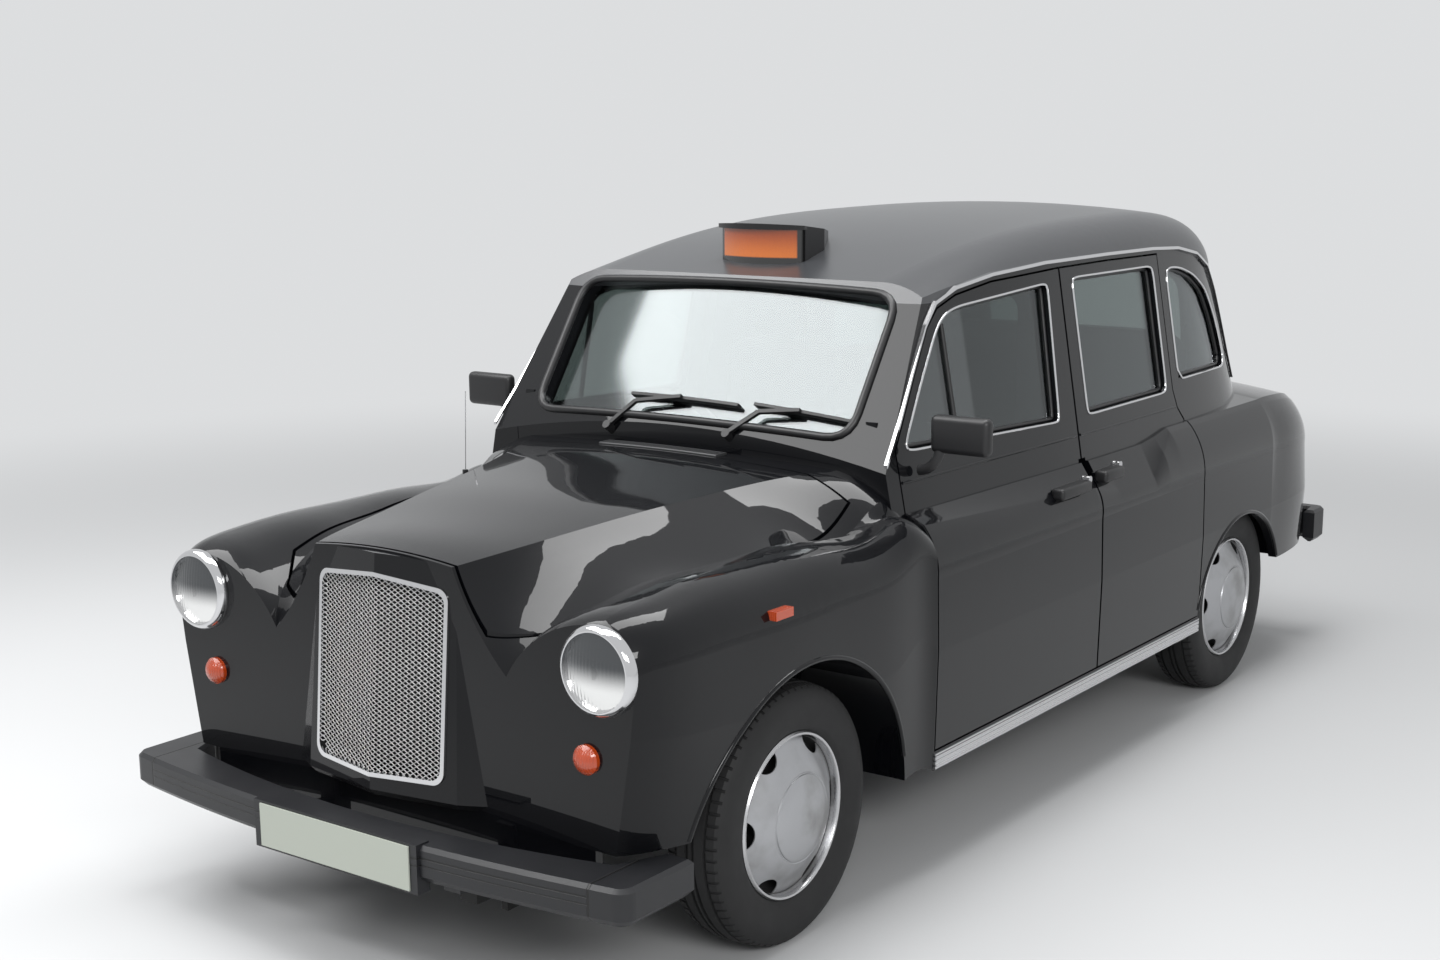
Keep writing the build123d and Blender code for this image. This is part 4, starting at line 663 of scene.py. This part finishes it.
def edges_only(name, paths):
    """A mesh of edges: each path is its points, and whether it closes."""
    vertices, edges = [], []
    for points, closed in paths:
        first = len(vertices)
        vertices += points
        edges += [(i, i + 1) for i in range(first, len(vertices) - 1)]
        edges += [(len(vertices) - 1, first)] if closed else []
    mesh = bpy.data.meshes.new(name)
    mesh.from_pydata(vertices, edges, [])
    return placed(name, mesh)


bead_tree, size = geometry_tree("bead_along_a_path", Radius="Float", Sides="Int")
line = bead_tree.node("GeometryNodeMeshToCurve", size["Base"])
section = bead_tree.node("GeometryNodeCurvePrimitiveCircle", Resolution=size["Sides"], Radius=size["Radius"])
swept = bead_tree.node("GeometryNodeCurveToMesh", line, section, **{"Fill Caps": True})
end_tree(bead_tree, bead_tree.node("GeometryNodeSetShadeSmooth", swept), size["Finish"])


def bead(name, body, paths, radius, finish, sides=8):
    """A round bead along each path, as one piece on one body."""
    return grow(edges_only(name, paths), bead_tree, body, Radius=radius, Sides=sides, Finish=finish)


print("bead tree nodes:", len(bead_tree.tree.nodes))

# %% [markdown]
# ## Side windows
#
# Each side window has a bright metal frame on the panel's edge and a soft black seal where the glass
# slides. The outlines are the same ones that cut the openings, so the frame follows them exactly.
# The front door also has a slim upright bar that parts the fixed front glass from the sliding one.

# %% Window frames and seals
WINDOWS = {
    "front": [(-0.792, 1.190), (-0.668, 1.348), (-0.560, 1.478), (-0.510, 1.516), (-0.440, 1.532),
              (0.066, 1.562), (0.078, 1.550), (0.052, 1.158), (0.040, 1.152), (-0.780, 1.176)],
    "rear": [(0.250, 1.160), (0.248, 1.556), (0.262, 1.568), (0.826, 1.566), (0.842, 1.550), (0.842, 1.166),
             (0.828, 1.152), (0.262, 1.150)],
    "quarter": [(0.962, 1.182), (0.962, 1.530), (0.980, 1.552), (1.080, 1.546), (1.204, 1.514),
                (1.318, 1.454), (1.396, 1.345), (1.438, 1.226), (1.428, 1.192), (1.400, 1.180)],
}
CORNER_REACH = 0.045
FRAME_RADIUS, SEAL_RADIUS, BAR_RADIUS = 0.0042, 0.0065, 0.008
FRAME_OUT, SEAL_IN = 0.004, 0.005
BAR_Y, BAR_FOOT_Z, BAR_STEP = -0.505, 1.182, 0.062

for side, sign in SIDES:
    for place, corners in WINDOWS.items():
        outline = rounded(corners, CORNER_REACH)
        door = place != "quarter"
        body = f"door_{place}_{side}" if door else "cab_body"
        skin = door_skin[place, side] if door else skin_of("rear_quarters")
        pane = skin_of(f"glass_door_{place}_{side}" if door else "fixed_glass")
        frame_path = from_side(skin, outset(outline, FRAME_OUT), sign, proud=0.0005)
        seal_path = from_side(pane, outset(outline, -SEAL_IN), sign, proud=0.001)
        bead(f"window_frame_{place}_{side}", body, [(frame_path, True)], FRAME_RADIUS, chrome)
        bead(f"window_seal_{place}_{side}", body, [(seal_path, True)], SEAL_RADIUS, rubber_seal)
    bar_line = [(BAR_Y, BAR_FOOT_Z + BAR_STEP * i) for i in range(6)]
    bar = from_side(skin_of(f"glass_door_front_{side}"), bar_line, sign, proud=0.003)
    bead(f"quarter_light_bar_{side}", f"door_front_{side}", [(bar, False)], BAR_RADIUS, black_plastic)
print("frame points:", len(frame_path), "seal points:", len(seal_path), "bar points:", len(bar))

# %% [markdown]
# ## Windscreen and rear screen rubber
#
# Both screens are held by a thick black rubber that laps over the panel. The windscreen leans back
# and bends in plan, so its outline is drawn on a leaning plane and sent at the body square to it.

# %% Screen rubbers
SCREEN_FOOT = Vector((0, -0.890, 1.221))
SCREEN_LEAN = math.radians(34.5)
SCREEN_UP = Vector((0, math.sin(SCREEN_LEAN), math.cos(SCREEN_LEAN)))
SCREEN_IN = Vector((0, SCREEN_UP.z, -SCREEN_UP.y))
AHEAD = 0.4
# half width, foot, head, reach of the rounded corner, lap over the panel
SCREEN = 0.565, 0, 0.446, 0.075, 0.006
REAR_SCREEN = 0.420, 1.165, 1.478, 0.08, 0.004
SCREEN_RUBBER, REAR_RUBBER = 0.012, 0.009


def filled_in(points, spacing=0.03):
    """Extra points, so that a long straight run follows the skin."""
    dense = []
    for point, after in zip(points, points[1:] + points[:1]):
        count = max(1, round((after - point).length / spacing))
        dense += [point.lerp(after, i / count) for i in range(count)]
    return dense


def screen_outline(half, low, high, corner, lap):
    box = [(-half, low), (-half, high), (half, high), (half, low)]
    return filled_in(outset(rounded(box, corner), lap))


front_skin = skin_of("cabin_frame", "roof_panel", "scuttle_panel", "front_wings")
lip = []
for across, up in screen_outline(*SCREEN):
    start = SCREEN_FOOT + Vector((across, 0, 0)) + SCREEN_UP * up
    lip.append(on_skin(front_skin, start - SCREEN_IN * AHEAD, SCREEN_IN) or start)
bead("windscreen_rubber", "cab_body", [(lip, True)], SCREEN_RUBBER, rubber_seal, 12)
back_skin = skin_of("cabin_frame", "roof_panel", "rear_quarters", "tail_panel", "boot_lid")
found = (on_skin(back_skin, (x, BEHIND, z), (0, -1, 0)) for x, z in screen_outline(*REAR_SCREEN))
lip = [spot for spot in found if spot]
bead("rear_screen_rubber", "cab_body", [(lip, True)], REAR_RUBBER, rubber_seal, 12)
print("rear screen rubber points:", len(lip))

# %% [markdown]
# ## Mouldings, arch lips and sill ribs
#
# A pressed line runs below the windows, the wheel arches are rolled to a lip, and the bright sill
# strip is ribbed so that shoes don't slip. All of these are beads once more, in the finish of what
# they belong to.

# %% Beads on the body
flank = {side: skin_of(f"door_front_{side}", f"door_rear_{side}", "rear_quarters", "front_wings")
         for side, _ in SIDES}
ARCHES = (
    # name, middle y and z, radius along y and z, first and last angle in degrees
    ("front", -1.455, 0.290, 0.462, 0.462, 12, 168),
    ("rear", 1.340, 0.296, 0.389, 0.364, 6, 174),
)
LIP_RADIUS, RIB_RADIUS = 0.008, 0.0028
BELT_Z, BELT_RADIUS = 1.092, 0.005
BELTS = {"front": (-0.836, 0.158), "rear": (0.180, 0.905)}
SILL_X, SILL_FROM_Y, SILL_TO_Y = 0.8435, -0.845, 0.955
SILL_RIBS = (0.314, 0.326, 0.338)


def evenly(first, last, steps):
    """Numbers from first to last in equal steps."""
    return [first + (last - first) * i / steps for i in range(steps + 1)]


for side, sign in SIDES:
    for place, ends in BELTS.items():
        belt_line = [(y, BELT_Z) for y in evenly(*ends, 24)]
        belt = from_side(door_skin[place, side], belt_line, sign, proud=-0.001)
        bead(f"belt_line_{place}_{side}", f"door_{place}_{side}", [(belt, False)], BELT_RADIUS, paint)
    for place, middle_y, middle_z, along, up, first, last in ARCHES:
        angles = [math.radians(angle) for angle in evenly(first, last, 48)]
        curve = [(middle_y - along * math.cos(a), middle_z + up * math.sin(a)) for a in angles]
        lip = from_side(flank[side], curve, sign, proud=-0.003)
        bead(f"arch_lip_{place}_{side}", "cab_body", [(lip, False)], LIP_RADIUS, paint)
    along_sill = evenly(SILL_FROM_Y, SILL_TO_Y, 18)
    ribs = [([Vector((sign * SILL_X, y, z)) for y in along_sill], False) for z in SILL_RIBS]
    bead(f"sill_ribs_{side}", "cab_body", ribs, RIB_RADIUS, chrome, 6)
print("arch lip points:", len(curve))

# %% [markdown]
# ## The fine grille mesh
#
# The CAD piece has the diamond mesh at a coarse pitch, which keeps it light. The real sheet has
# diamonds about 19 by 12 mm. Drawing every strand by hand would be hopeless; a tree makes one
# diamond, sets it on every point of a grid, and then folds the flat sheet down its middle and leans
# it back, as the sheet metal worker does. Cells that would reach past the frame's rounded corners
# are left out. A dark block with fine fins behind it is the radiator.

# %% Grille mesh
mesh_tree, size = geometry_tree("folded_diamond_mesh", Columns="Int", Rows="Int", Cell_Width="Float",
                                Cell_Height="Float", Strand="Float", Middle_Y="Float", Middle_Z="Float",
                                Lean="Float", Sweep="Float", Corner="Float")
half_width = size["Cell_Width"] * (size["Columns"] - 1) / 2
half_height = size["Cell_Height"] * (size["Rows"] - 1) / 2
grid = mesh_tree.node("GeometryNodeMeshGrid", half_width * 2, half_height * 2, size["Columns"], size["Rows"])
x, y, z = mesh_tree.parts(mesh_tree.node("GeometryNodeInputPosition"))
past_x = (x.maths("ABSOLUTE") - half_width + size["Corner"]).maths("MAXIMUM", 0.0)
past_y = (y.maths("ABSOLUTE") - half_height + size["Corner"]).maths("MAXIMUM", 0.0)
outside = (past_x * past_x + past_y * past_y).maths("SQRT").maths("GREATER_THAN", size["Corner"])
grid = mesh_tree.node("GeometryNodeDeleteGeometry", grid, outside)
scale = mesh_tree.node("ShaderNodeCombineXYZ", size["Cell_Width"] / 2, size["Cell_Height"] / 2, 1.0)
diamond = mesh_tree.node("GeometryNodeTransform", mesh_tree.node("GeometryNodeMeshCircle", 4, 1.0),
                         Scale=scale)
strand = mesh_tree.node("GeometryNodeCurvePrimitiveCircle", Resolution=4, Radius=size["Strand"])
ring = mesh_tree.node("GeometryNodeCurveToMesh", mesh_tree.node("GeometryNodeMeshToCurve", diamond), strand)
cells = mesh_tree.node("GeometryNodeInstanceOnPoints", grid, Instance=ring)
sheet = mesh_tree.node("GeometryNodeTransform", mesh_tree.node("GeometryNodeRealizeInstances", cells),
                       Rotation=(math.radians(90), 0, 0))
x, y, z = mesh_tree.parts(mesh_tree.node("GeometryNodeInputPosition"))
fold = size["Lean"] * z + size["Sweep"] * x.maths("ABSOLUTE") + size["Middle_Y"]
moved = mesh_tree.node("ShaderNodeCombineXYZ", 0.0, fold, size["Middle_Z"])
end_tree(mesh_tree, mesh_tree.node("GeometryNodeSetPosition", sheet, Offset=moved), size["Finish"])
fine_mesh = grow(edges_only("fine_grille_mesh", []), mesh_tree, "cab_body", Columns=23, Rows=41,
                 Cell_Width=0.019, Cell_Height=0.0122, Strand=0.0018, Middle_Y=-2.1275, Middle_Z=0.742,
                 Lean=0.0866, Sweep=0.1532, Corner=0.03, Finish=dull_steel)
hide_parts("grille_mesh")


def smooth_object(name, work, finish, body):
    """Turns a bmesh into a smooth piece on a body."""
    made = mesh_object(name, [], [])
    work.to_mesh(made.data)
    work.free()
    made.data.polygons.foreach_set("use_smooth", [True] * len(made.data.polygons))
    give(made.data, finish)
    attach(made, body)
    return made


def soft_box(name, low, high, finish, body, bevel=0.004, segments=2, sign=1):
    """A block with softened edges; a sign of -1 puts it on the other side of the cab."""
    work = bmesh.new()
    middle = [(a + b) / 2 for a, b in zip(low, high)]
    span = [b - a for a, b in zip(low, high)]
    middle[0] *= sign
    bmesh.ops.create_cube(work, size=1, matrix=Matrix.Translation(middle) @ Matrix.Diagonal((*span, 1)))
    bmesh.ops.bevel(work, geom=work.edges[:], offset=bevel, segments=segments, affect="EDGES", profile=0.5)
    made = smooth_object(name, work, finish, body)
    made.data.set_sharp_from_angle(angle=math.radians(40))
    return made


RADIATOR = (-0.235, -2.052, 0.46), (0.235, -2.024, 0.94)
radiator_black = material("radiator_black", (0.004, 0.004, 0.004), 0.7, build=ribs_across(0.004, 0.0008))
soft_box("radiator", *RADIATOR, radiator_black, "cab_body")
print("mesh faces:", len(fine_mesh.data.polygons))

# %% [markdown]
# ## Fresh air vent
#
# In front of the windscreen the heater breathes through a row of slots. Cutting slots in the panel
# would be the direct way, but slats on a near black strip, which is painted shade standing in for the
# dark inside of the slots, look the same from every side. The strip follows the panel, and a tree
# stands a slat on each point of a line across it.

# %% Vent on the scuttle
slat_tree, size = geometry_tree("slats_in_a_row", Count="Int", Slat="Vector")
row = slat_tree.node("GeometryNodeResampleCurve", slat_tree.node("GeometryNodeMeshToCurve", size["Base"]),
                     Count=size["Count"])
slat = slat_tree.node("GeometryNodeMeshCube", size["Slat"])
end_tree(slat_tree, slat_tree.node("GeometryNodeInstanceOnPoints", row, Instance=slat), size["Finish"])

vent_plastic = material("vent_plastic", (0.045, 0.046, 0.048), 0.4, build=dusty(0.35, 0.5))
scuttle = skin_of("scuttle_panel", "cabin_frame")
VENT_X, VENT_Y, VENT_STEPS = (-0.236, 0.186), (-0.966, -0.916), 20
VENT_EDGE_RADIUS = 0.004
across = evenly(*VENT_X, VENT_STEPS)
front_edge, back_edge = ([on_skin(scuttle, (x, y, ABOVE), (0, 0, -1), 0.0015) for x in across]
                         for y in VENT_Y)
strip = [spot for pair in zip(front_edge, back_edge) for spot in pair]
strip_faces = [(2 * i, 2 * i + 2, 2 * i + 3, 2 * i + 1) for i in range(VENT_STEPS)]
# painted shade: a near black sheet under the slats stands in for the shade inside the vent
vent_shade_sheet = mesh_object("vent_shade_sheet", strip, strip_faces)
give(vent_shade_sheet.data, material("vent_painted_shade", (0.0015, 0.0015, 0.0015), 0.8))
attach(vent_shade_sheet, "cab_body")
middle_line = [(front + back) / 2 for front, back in zip(front_edge, back_edge)]
vent = grow(edges_only("vent_slats", [(middle_line, False)]), slat_tree, "cab_body", Count=34,
            Slat=(0.0055, 0.050, 0.008), Finish=vent_plastic)
bead("vent_edge", "cab_body", [(front_edge + back_edge[::-1], True)], VENT_EDGE_RADIUS, vent_plastic)
print("vent slat faces:", len(vent.data.polygons))

# %% [markdown]
# ## Door handles and locks
#
# The handles are thick black grips, with a round bright lock beside them. The CAD
# doors carry a plain block where the hand goes; the finished handle covers it.

# %% Handles
HANDLES = (
    # door, the left grip's low and high corner, and the lock's y and z
    ("front", (0.806, -0.118, 0.938), (0.850, 0.078, 0.974), (0.118, 0.966)),
    ("rear", (0.800, 0.184, 0.946), (0.846, 0.318, 0.984), (0.350, 0.978)),
)
LOCK_RADIUS, LOCK_REACH = 0.012, (-0.004, 0.020)
for side, sign in SIDES:
    for place, low, high, lock in HANDLES:
        body = f"door_{place}_{side}"
        soft_box(f"handle_{place}_{side}", low, high, black_plastic, body, bevel=0.011, segments=4, sign=sign)
        [spot] = from_side(door_skin[place, side], [lock], sign)
        barrel = [spot + Vector((sign * reach, 0, 0)) for reach in LOCK_REACH]
        bead(f"lock_{place}_{side}", body, [(barrel, False)], LOCK_RADIUS, chrome, 20)
print("handles:", 2 * len(HANDLES))

# %% [markdown]
# ## Door mirrors
#
# Each mirror is a moulded black shell on a stalk that rises from the door's front corner, with
# silvered glass in its back. The shell is a block with a large bevel, and the stalk is a thick bead
# along three points of a curve.

# %% Door mirrors
SHELL = (0.768, -0.778, 1.172), (0.948, -0.736, 1.276)
MIRROR_GLASS = (0.780, -0.7375, 1.184), (0.936, -0.7335, 1.264)
STALK = (0.735, -0.770, 1.120), (0.792, -0.770, 1.124), (0.800, -0.757, 1.205)
STALK_RADIUS = 0.0145
mirror_silver = material("mirror_silver", (0.88, 0.89, 0.90), 0.02, Metallic=1.0)
for side, sign in SIDES:
    body = f"door_front_{side}"
    shell = soft_box(f"mirror_shell_{side}", *SHELL, black_plastic, body, bevel=0.017, segments=5, sign=sign)
    foot, bend, top = (Vector((sign * x, y, z)) for x, y, z in STALK)
    sweep = [foot.lerp(bend, t).lerp(bend.lerp(top, t), t) for t in evenly(0, 1, 10)]
    bead(f"mirror_stalk_{side}", body, [(sweep, False)], STALK_RADIUS, black_plastic, 16)
    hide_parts(f"mirror_{side}")
    soft_box(f"mirror_glass_{side}", *MIRROR_GLASS, mirror_silver, body, bevel=0.0015, sign=sign)
print("mirrors:", len(SIDES))

# %% [markdown]
# ## Tyres
#
# A road tyre repeats itself all the way round, so only one block of tread is modelled: its section
# with the long grooves, a full-height part, and a short part where the shoulder is cut by a slot. A
# tree copies it round the wheel and merges the copies into one skin.

# %% Tyres
TREAD_BLOCKS = 72
SIDEWALL = [(0.062, 0.217), (0.070, 0.219), (0.079, 0.230), (0.080, 0.234), (0.0845, 0.248),
            (0.0872, 0.274), (0.0875, 0.285), (0.086, 0.300), (0.080, 0.319), (0.0745, 0.3265)]
TREAD = [(0.068, 0.333), (0.048, 0.3376), (0.0465, 0.331), (0.040, 0.331), (0.0385, 0.3384),
         (0.0135, 0.3398), (0.012, 0.332), (0.005, 0.332), (0.0035, 0.340)]
SHOULDER_X, SLOT_DEPTH = 0.047, 0.0045


def tyre_section(slotted):
    """Half a section from bead to middle, then its mirror image."""
    tread = [(x, r - SLOT_DEPTH if slotted and x > SHOULDER_X else r) for x, r in TREAD]
    half = SIDEWALL + tread
    return half + [(-x, r) for x, r in reversed(half)]


turn = 2 * math.pi / TREAD_BLOCKS
# share of a block's length, and whether the slot is there
stations = [(0.0, False), (0.72, False), (0.76, True), (0.96, True), (1.0, False)]
block_points, block_faces = [], []
for share, slotted in stations:
    angle = (share - 0.5) * turn
    block_points += [(x, r * math.sin(angle), r * math.cos(angle)) for x, r in tyre_section(slotted)]
width = len(tyre_section(False))
for s in range(len(stations) - 1):
    for i in range(width - 1):
        a = s * width + i
        block_faces.append((a, a + width, a + width + 1, a + 1))

tyre_tree, size = geometry_tree("tread_round_a_wheel", Blocks="Int", Place="Vector")
count = tyre_tree.node("GeometryNodeMeshLine", size["Blocks"], Offset=(0, 0, 0))
spin = tyre_tree.node("GeometryNodeInputIndex") * (2 * math.pi) / size["Blocks"]
angle = tyre_tree.node("ShaderNodeCombineXYZ", spin, 0.0, 0.0)
ring = tyre_tree.node("GeometryNodeInstanceOnPoints", count, Instance=size["Base"], Rotation=angle)
whole = tyre_tree.node("GeometryNodeMergeByDistance", tyre_tree.node("GeometryNodeRealizeInstances", ring),
                       Distance=0.0001)
end_tree(tyre_tree, tyre_tree.node("GeometryNodeTransform", whole, Translation=size["Place"]), size["Finish"])
for place, axle_y in AXLES.items():
    for side, sign in SIDES:
        block = mesh_object(f"road_tyre_{place}_{side}", block_points, block_faces, smooth=True)
        tyre = grow(block, tyre_tree, f"wheel_{place}_{side}", Blocks=TREAD_BLOCKS,
                    Place=(sign * HUB_X, axle_y, AXLE_Z), Finish=rubber)
        tyre.data.set_sharp_from_angle(angle=math.radians(32))
        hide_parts(f"tyre_{place}_{side}")
print("faces in a tyre:", len(tyre.data.polygons))

# %% [markdown]
# ## Wheel covers and rims
#
# Each cover is a pressed dome with a stepped middle, and six openings at its edge that let the
# brakes breathe. The dome is turned as on a lathe: a closed section is swung round the axle. The openings
# are then cut by six oval punches, which leaves crisp edges with real thickness. The rim behind it
# is another turned shape.

# %% Turned shapes
COVER = [(0.112, 0), (0.1112, 0.045), (0.1088, 0.080), (0.1045, 0.104), (0.101, 0.1115), (0.0975, 0.113),
         (0.0968, 0.115), (0.098, 0.1175), (0.093, 0.132), (0.083, 0.152), (0.071, 0.172), (0.060, 0.190),
         (0.054, 0.2012)]
COVER_WALL = 0.003
RIM = [(0.020, 0), (0.020, 0.150), (0.034, 0.192), (0.056, 0.2025), (0.068, 0.2035), (0.0755, 0.2080),
       (0.0765, 0.2135), (0.0715, 0.2178), (0.062, 0.2172), (0.046, 0.205), (-0.046, 0.205),
       (-0.060, 0.2165), (-0.066, 0.2165), (-0.064, 0.206), (-0.050, 0.198), (0.004, 0.188), (0.008, 0)]
OPENINGS, OPENING_RADIUS = 6, 0.194
OPENING_HALF_HEIGHT, OPENING_HALF_WIDTH = 0.027, 0.037
PUNCH_X, PUNCH_LENGTH = 0.06, 0.12


def turned(name, section, segments=96):
    """A closed section of (x, radius) points, swung round the X axis."""
    vertices, faces, rings = [], [], []
    for x, radius in section:
        rings.append([len(vertices) + (i if radius else 0) for i in range(segments)])
        angles = (2 * math.pi * i / segments for i in range(segments if radius else 1))
        vertices += [(x, radius * math.cos(a), radius * math.sin(a)) for a in angles]
    for ring, after in zip(rings, rings[1:] + rings[:1]):
        for i in range(segments):
            j = (i + 1) % segments
            corners = list(dict.fromkeys((ring[i], ring[j], after[j], after[i])))
            faces += [corners] if len(corners) > 2 else []
    return mesh_object(name, vertices, faces, smooth=True)


def outward(mesh):
    """Points all faces outwards."""
    work = bmesh.new()
    work.from_mesh(mesh)
    bmesh.ops.recalc_face_normals(work, faces=work.faces)
    work.to_mesh(mesh)
    work.free()


cover = turned("cover_blank", COVER + [(x - COVER_WALL, r) for x, r in reversed(COVER)])
outward(cover.data)
punch_work = bmesh.new()
along_axle = Matrix.Rotation(math.radians(90), 4, "Y")
oval = Matrix.Diagonal((1, OPENING_HALF_WIDTH, OPENING_HALF_HEIGHT, 1)) @ along_axle
for i in range(OPENINGS):
    turn_to = Matrix.Rotation(2 * math.pi * (i + 0.5) / OPENINGS, 4, "X")
    bmesh.ops.create_cone(punch_work, cap_ends=True, segments=28, radius1=1, radius2=1, depth=PUNCH_LENGTH,
                          matrix=turn_to @ Matrix.Translation((PUNCH_X, 0, OPENING_RADIUS)) @ oval)
punch = mesh_object("cover_punch", [], [])
punch_work.to_mesh(punch.data)
punch_work.free()
outward(punch.data)
cut = cover.modifiers.new("openings", "BOOLEAN")
cut.object, cut.operation, cut.solver = punch, "DIFFERENCE", "EXACT"
cover_mesh = bpy.data.meshes.new_from_object(cover.evaluated_get(bpy.context.evaluated_depsgraph_get()))
rim = turned("rim_blank", RIM)
outward(rim.data)
for place, axle_y in AXLES.items():
    for side, sign in SIDES:
        move = Matrix.Translation((sign * HUB_X, axle_y, AXLE_Z)) @ Matrix.Diagonal((sign, 1, 1, 1))
        shapes = ("cover", cover_mesh, cover_silver), ("rim", rim.data, rim_finish[place])
        for kind, source, finish in shapes:
            made = placed(f"wheel_{kind}_{place}_{side}", source.copy())
            made.data.transform(move)
            outward(made.data)
            made.data.set_sharp_from_angle(angle=math.radians(38))
            give(made.data, finish)
            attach(made, f"wheel_{place}_{side}")
            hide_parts(f"wheel_{place}_{side}")
for blank in (cover, rim, punch):
    bpy.data.objects.remove(blank)
print("cover faces:", len(cover_mesh.polygons))

# %% [markdown]
# ## Small fittings
#
# A thin aerial stands on the right wing, and the boot lid has a bright handle. Both are beads again.

# %% Aerial and boot handle
AERIAL_AT, ROD_RADIUS = (-0.725, -1.030), 0.0016
AERIAL_ROD = Vector((0, 0.012, 0.26))
FOOT_RISE, FOOT_RADIUS = (-0.004, 0.018), 0.009
BOOT_HANDLE_Z, GRIP_HALF, END_X = 0.765, 0.075, 0.078
GRIP_OUT, END_IN, GRIP_RADIUS = 0.012, 0.002, 0.008
wing_top = on_skin(skin_of("front_wings"), (*AERIAL_AT, ABOVE), (0, 0, -1))
bead("aerial", "cab_body", [([wing_top, wing_top + AERIAL_ROD], False)], ROD_RADIUS, chrome, 8)
foot = [wing_top + Vector((0, 0, rise)) for rise in FOOT_RISE]
bead("aerial_foot", "cab_body", [(foot, False)], FOOT_RADIUS, black_plastic, 16)
lid = skin_of("boot_lid")
stops = [(-END_X, -END_IN), *((x, GRIP_OUT) for x in evenly(-GRIP_HALF, GRIP_HALF, 6)), (END_X, -END_IN)]
grip = [on_skin(lid, (x, BEHIND, BOOT_HANDLE_Z), (0, -1, 0), proud) for x, proud in stops]
bead("boot_handle", "boot_lid", [(grip, False)], GRIP_RADIUS, chrome, 12)
print("aerial foot at", [round(v, 3) for v in wing_top])

# %% [markdown]
# ## Upholstery
#
# A seat pad is a bag of vinyl over foam: full in the middle, drawn in at its edges, and pressed down
# along its sewn channels. Cloth simulation makes such a shape from scratch; here each pad is seen
# through dark glass, so the shape is written as a rule. A cube with many faces is rounded to a soft
# block, crowned, and dented along the channels. The pads of each seat stand on a plain plinth.

# %% Seat pads
CROWN, CUTS = 0.16, 22
CHANNEL_HALF, CHANNEL_DEPTH = 0.012, 0.10
ROUNDNESS = 7


def soft_block(name, low, high, back_lean, channels):
    """A crowned pad. back_lean shifts its top along Y; channels are places across it, -1 to 1."""
    middle = (Vector(low) + Vector(high)) / 2
    half = (Vector(high) - Vector(low)) / 2
    thin = min(range(3), key=lambda i: half[i])
    wide = [i for i in range(3) if i != thin]
    work = bmesh.new()
    bmesh.ops.create_cube(work, size=2)
    bmesh.ops.subdivide_edges(work, edges=work.edges[:], cuts=CUTS, use_grid_fill=True)
    for vertex in work.verts:
        flat = Vector(vertex.co)
        soft = flat / sum(abs(value) ** ROUNDNESS for value in flat) ** (1 / ROUNDNESS)
        fall = (1 - soft[wide[0]] ** 2) * (1 - soft[wide[1]] ** 2)
        soft[thin] *= 1 - CROWN + CROWN * max(fall, 0) ** 0.5
        for channel in channels:
            away = (soft[0] - channel) * half.x / CHANNEL_HALF
            soft[thin] *= 1 - CHANNEL_DEPTH * math.exp(-away * away) * (abs(flat[thin]) > 0.99)
        place = Vector([middle[i] + half[i] * soft[i] for i in range(3)])
        place.y += back_lean * (place.z - middle.z) / (2 * half.z)
        vertex.co = place
    made = smooth_object(name, work, vinyl, "cab_body")
    return made


BENCH = [-0.84, -0.5, -0.17, 0.17, 0.5, 0.84]
DRIVER = [-0.55, 0.0, 0.55]
PLINTHS = {
    "driver_seat": ("driver_plinth", (-0.583, -0.208, 0.351), (-0.167, 0.168, 0.640)),
    "rear_seats": ("bench_plinth", (-0.528, 0.885, 0.541), (0.528, 1.298, 0.640)),
}
seats = {
    "driver_seat": [
        soft_block("driver_cushion", (-0.603, -0.268, 0.642), (-0.147, 0.183, 0.744), 0, DRIVER),
        soft_block("driver_back", (-0.588, 0.125, 0.745), (-0.162, 0.210, 1.326), 0.052, DRIVER),
        soft_block("driver_headrest", (-0.468, 0.148, 1.332), (-0.282, 0.212, 1.488), 0, []),
    ],
    "rear_seats": [
        soft_block("bench_cushion", (-0.534, 0.802, 0.642), (0.534, 1.318, 0.789), 0, BENCH),
        soft_block("bench_back", (-0.554, 1.345, 0.795), (0.554, 1.465, 1.288), 0.095, BENCH),
        soft_block("tip_seat_left", (0.132, 0.250, 0.622), (0.528, 0.322, 0.998), 0, [0.0]),
        soft_block("tip_seat_right", (-0.528, 0.250, 0.622), (-0.132, 0.322, 0.998), 0, [0.0]),
    ],
}
seat_base = material("seat_base", (0.012, 0.012, 0.013), 0.6, build=grain(300.0, 0.2))
for name, block in PLINTHS.items():
    seats[name].append(soft_box(*block, seat_base, "cab_body", bevel=0.012))
for name, pieces in seats.items():
    for piece in pieces:
        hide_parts(name)
print("seat pieces:", sum(len(pieces) for pieces in seats.values()))

# %% [markdown]
# ## Measure and finish
#
# The box round everything shown, without the floor, is printed. The dressed cab must not be larger
# than the CAD model.

# %% Sizes
low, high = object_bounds()
print("bounds:", [round(v, 3) for v in low], [round(v, 3) for v in high])
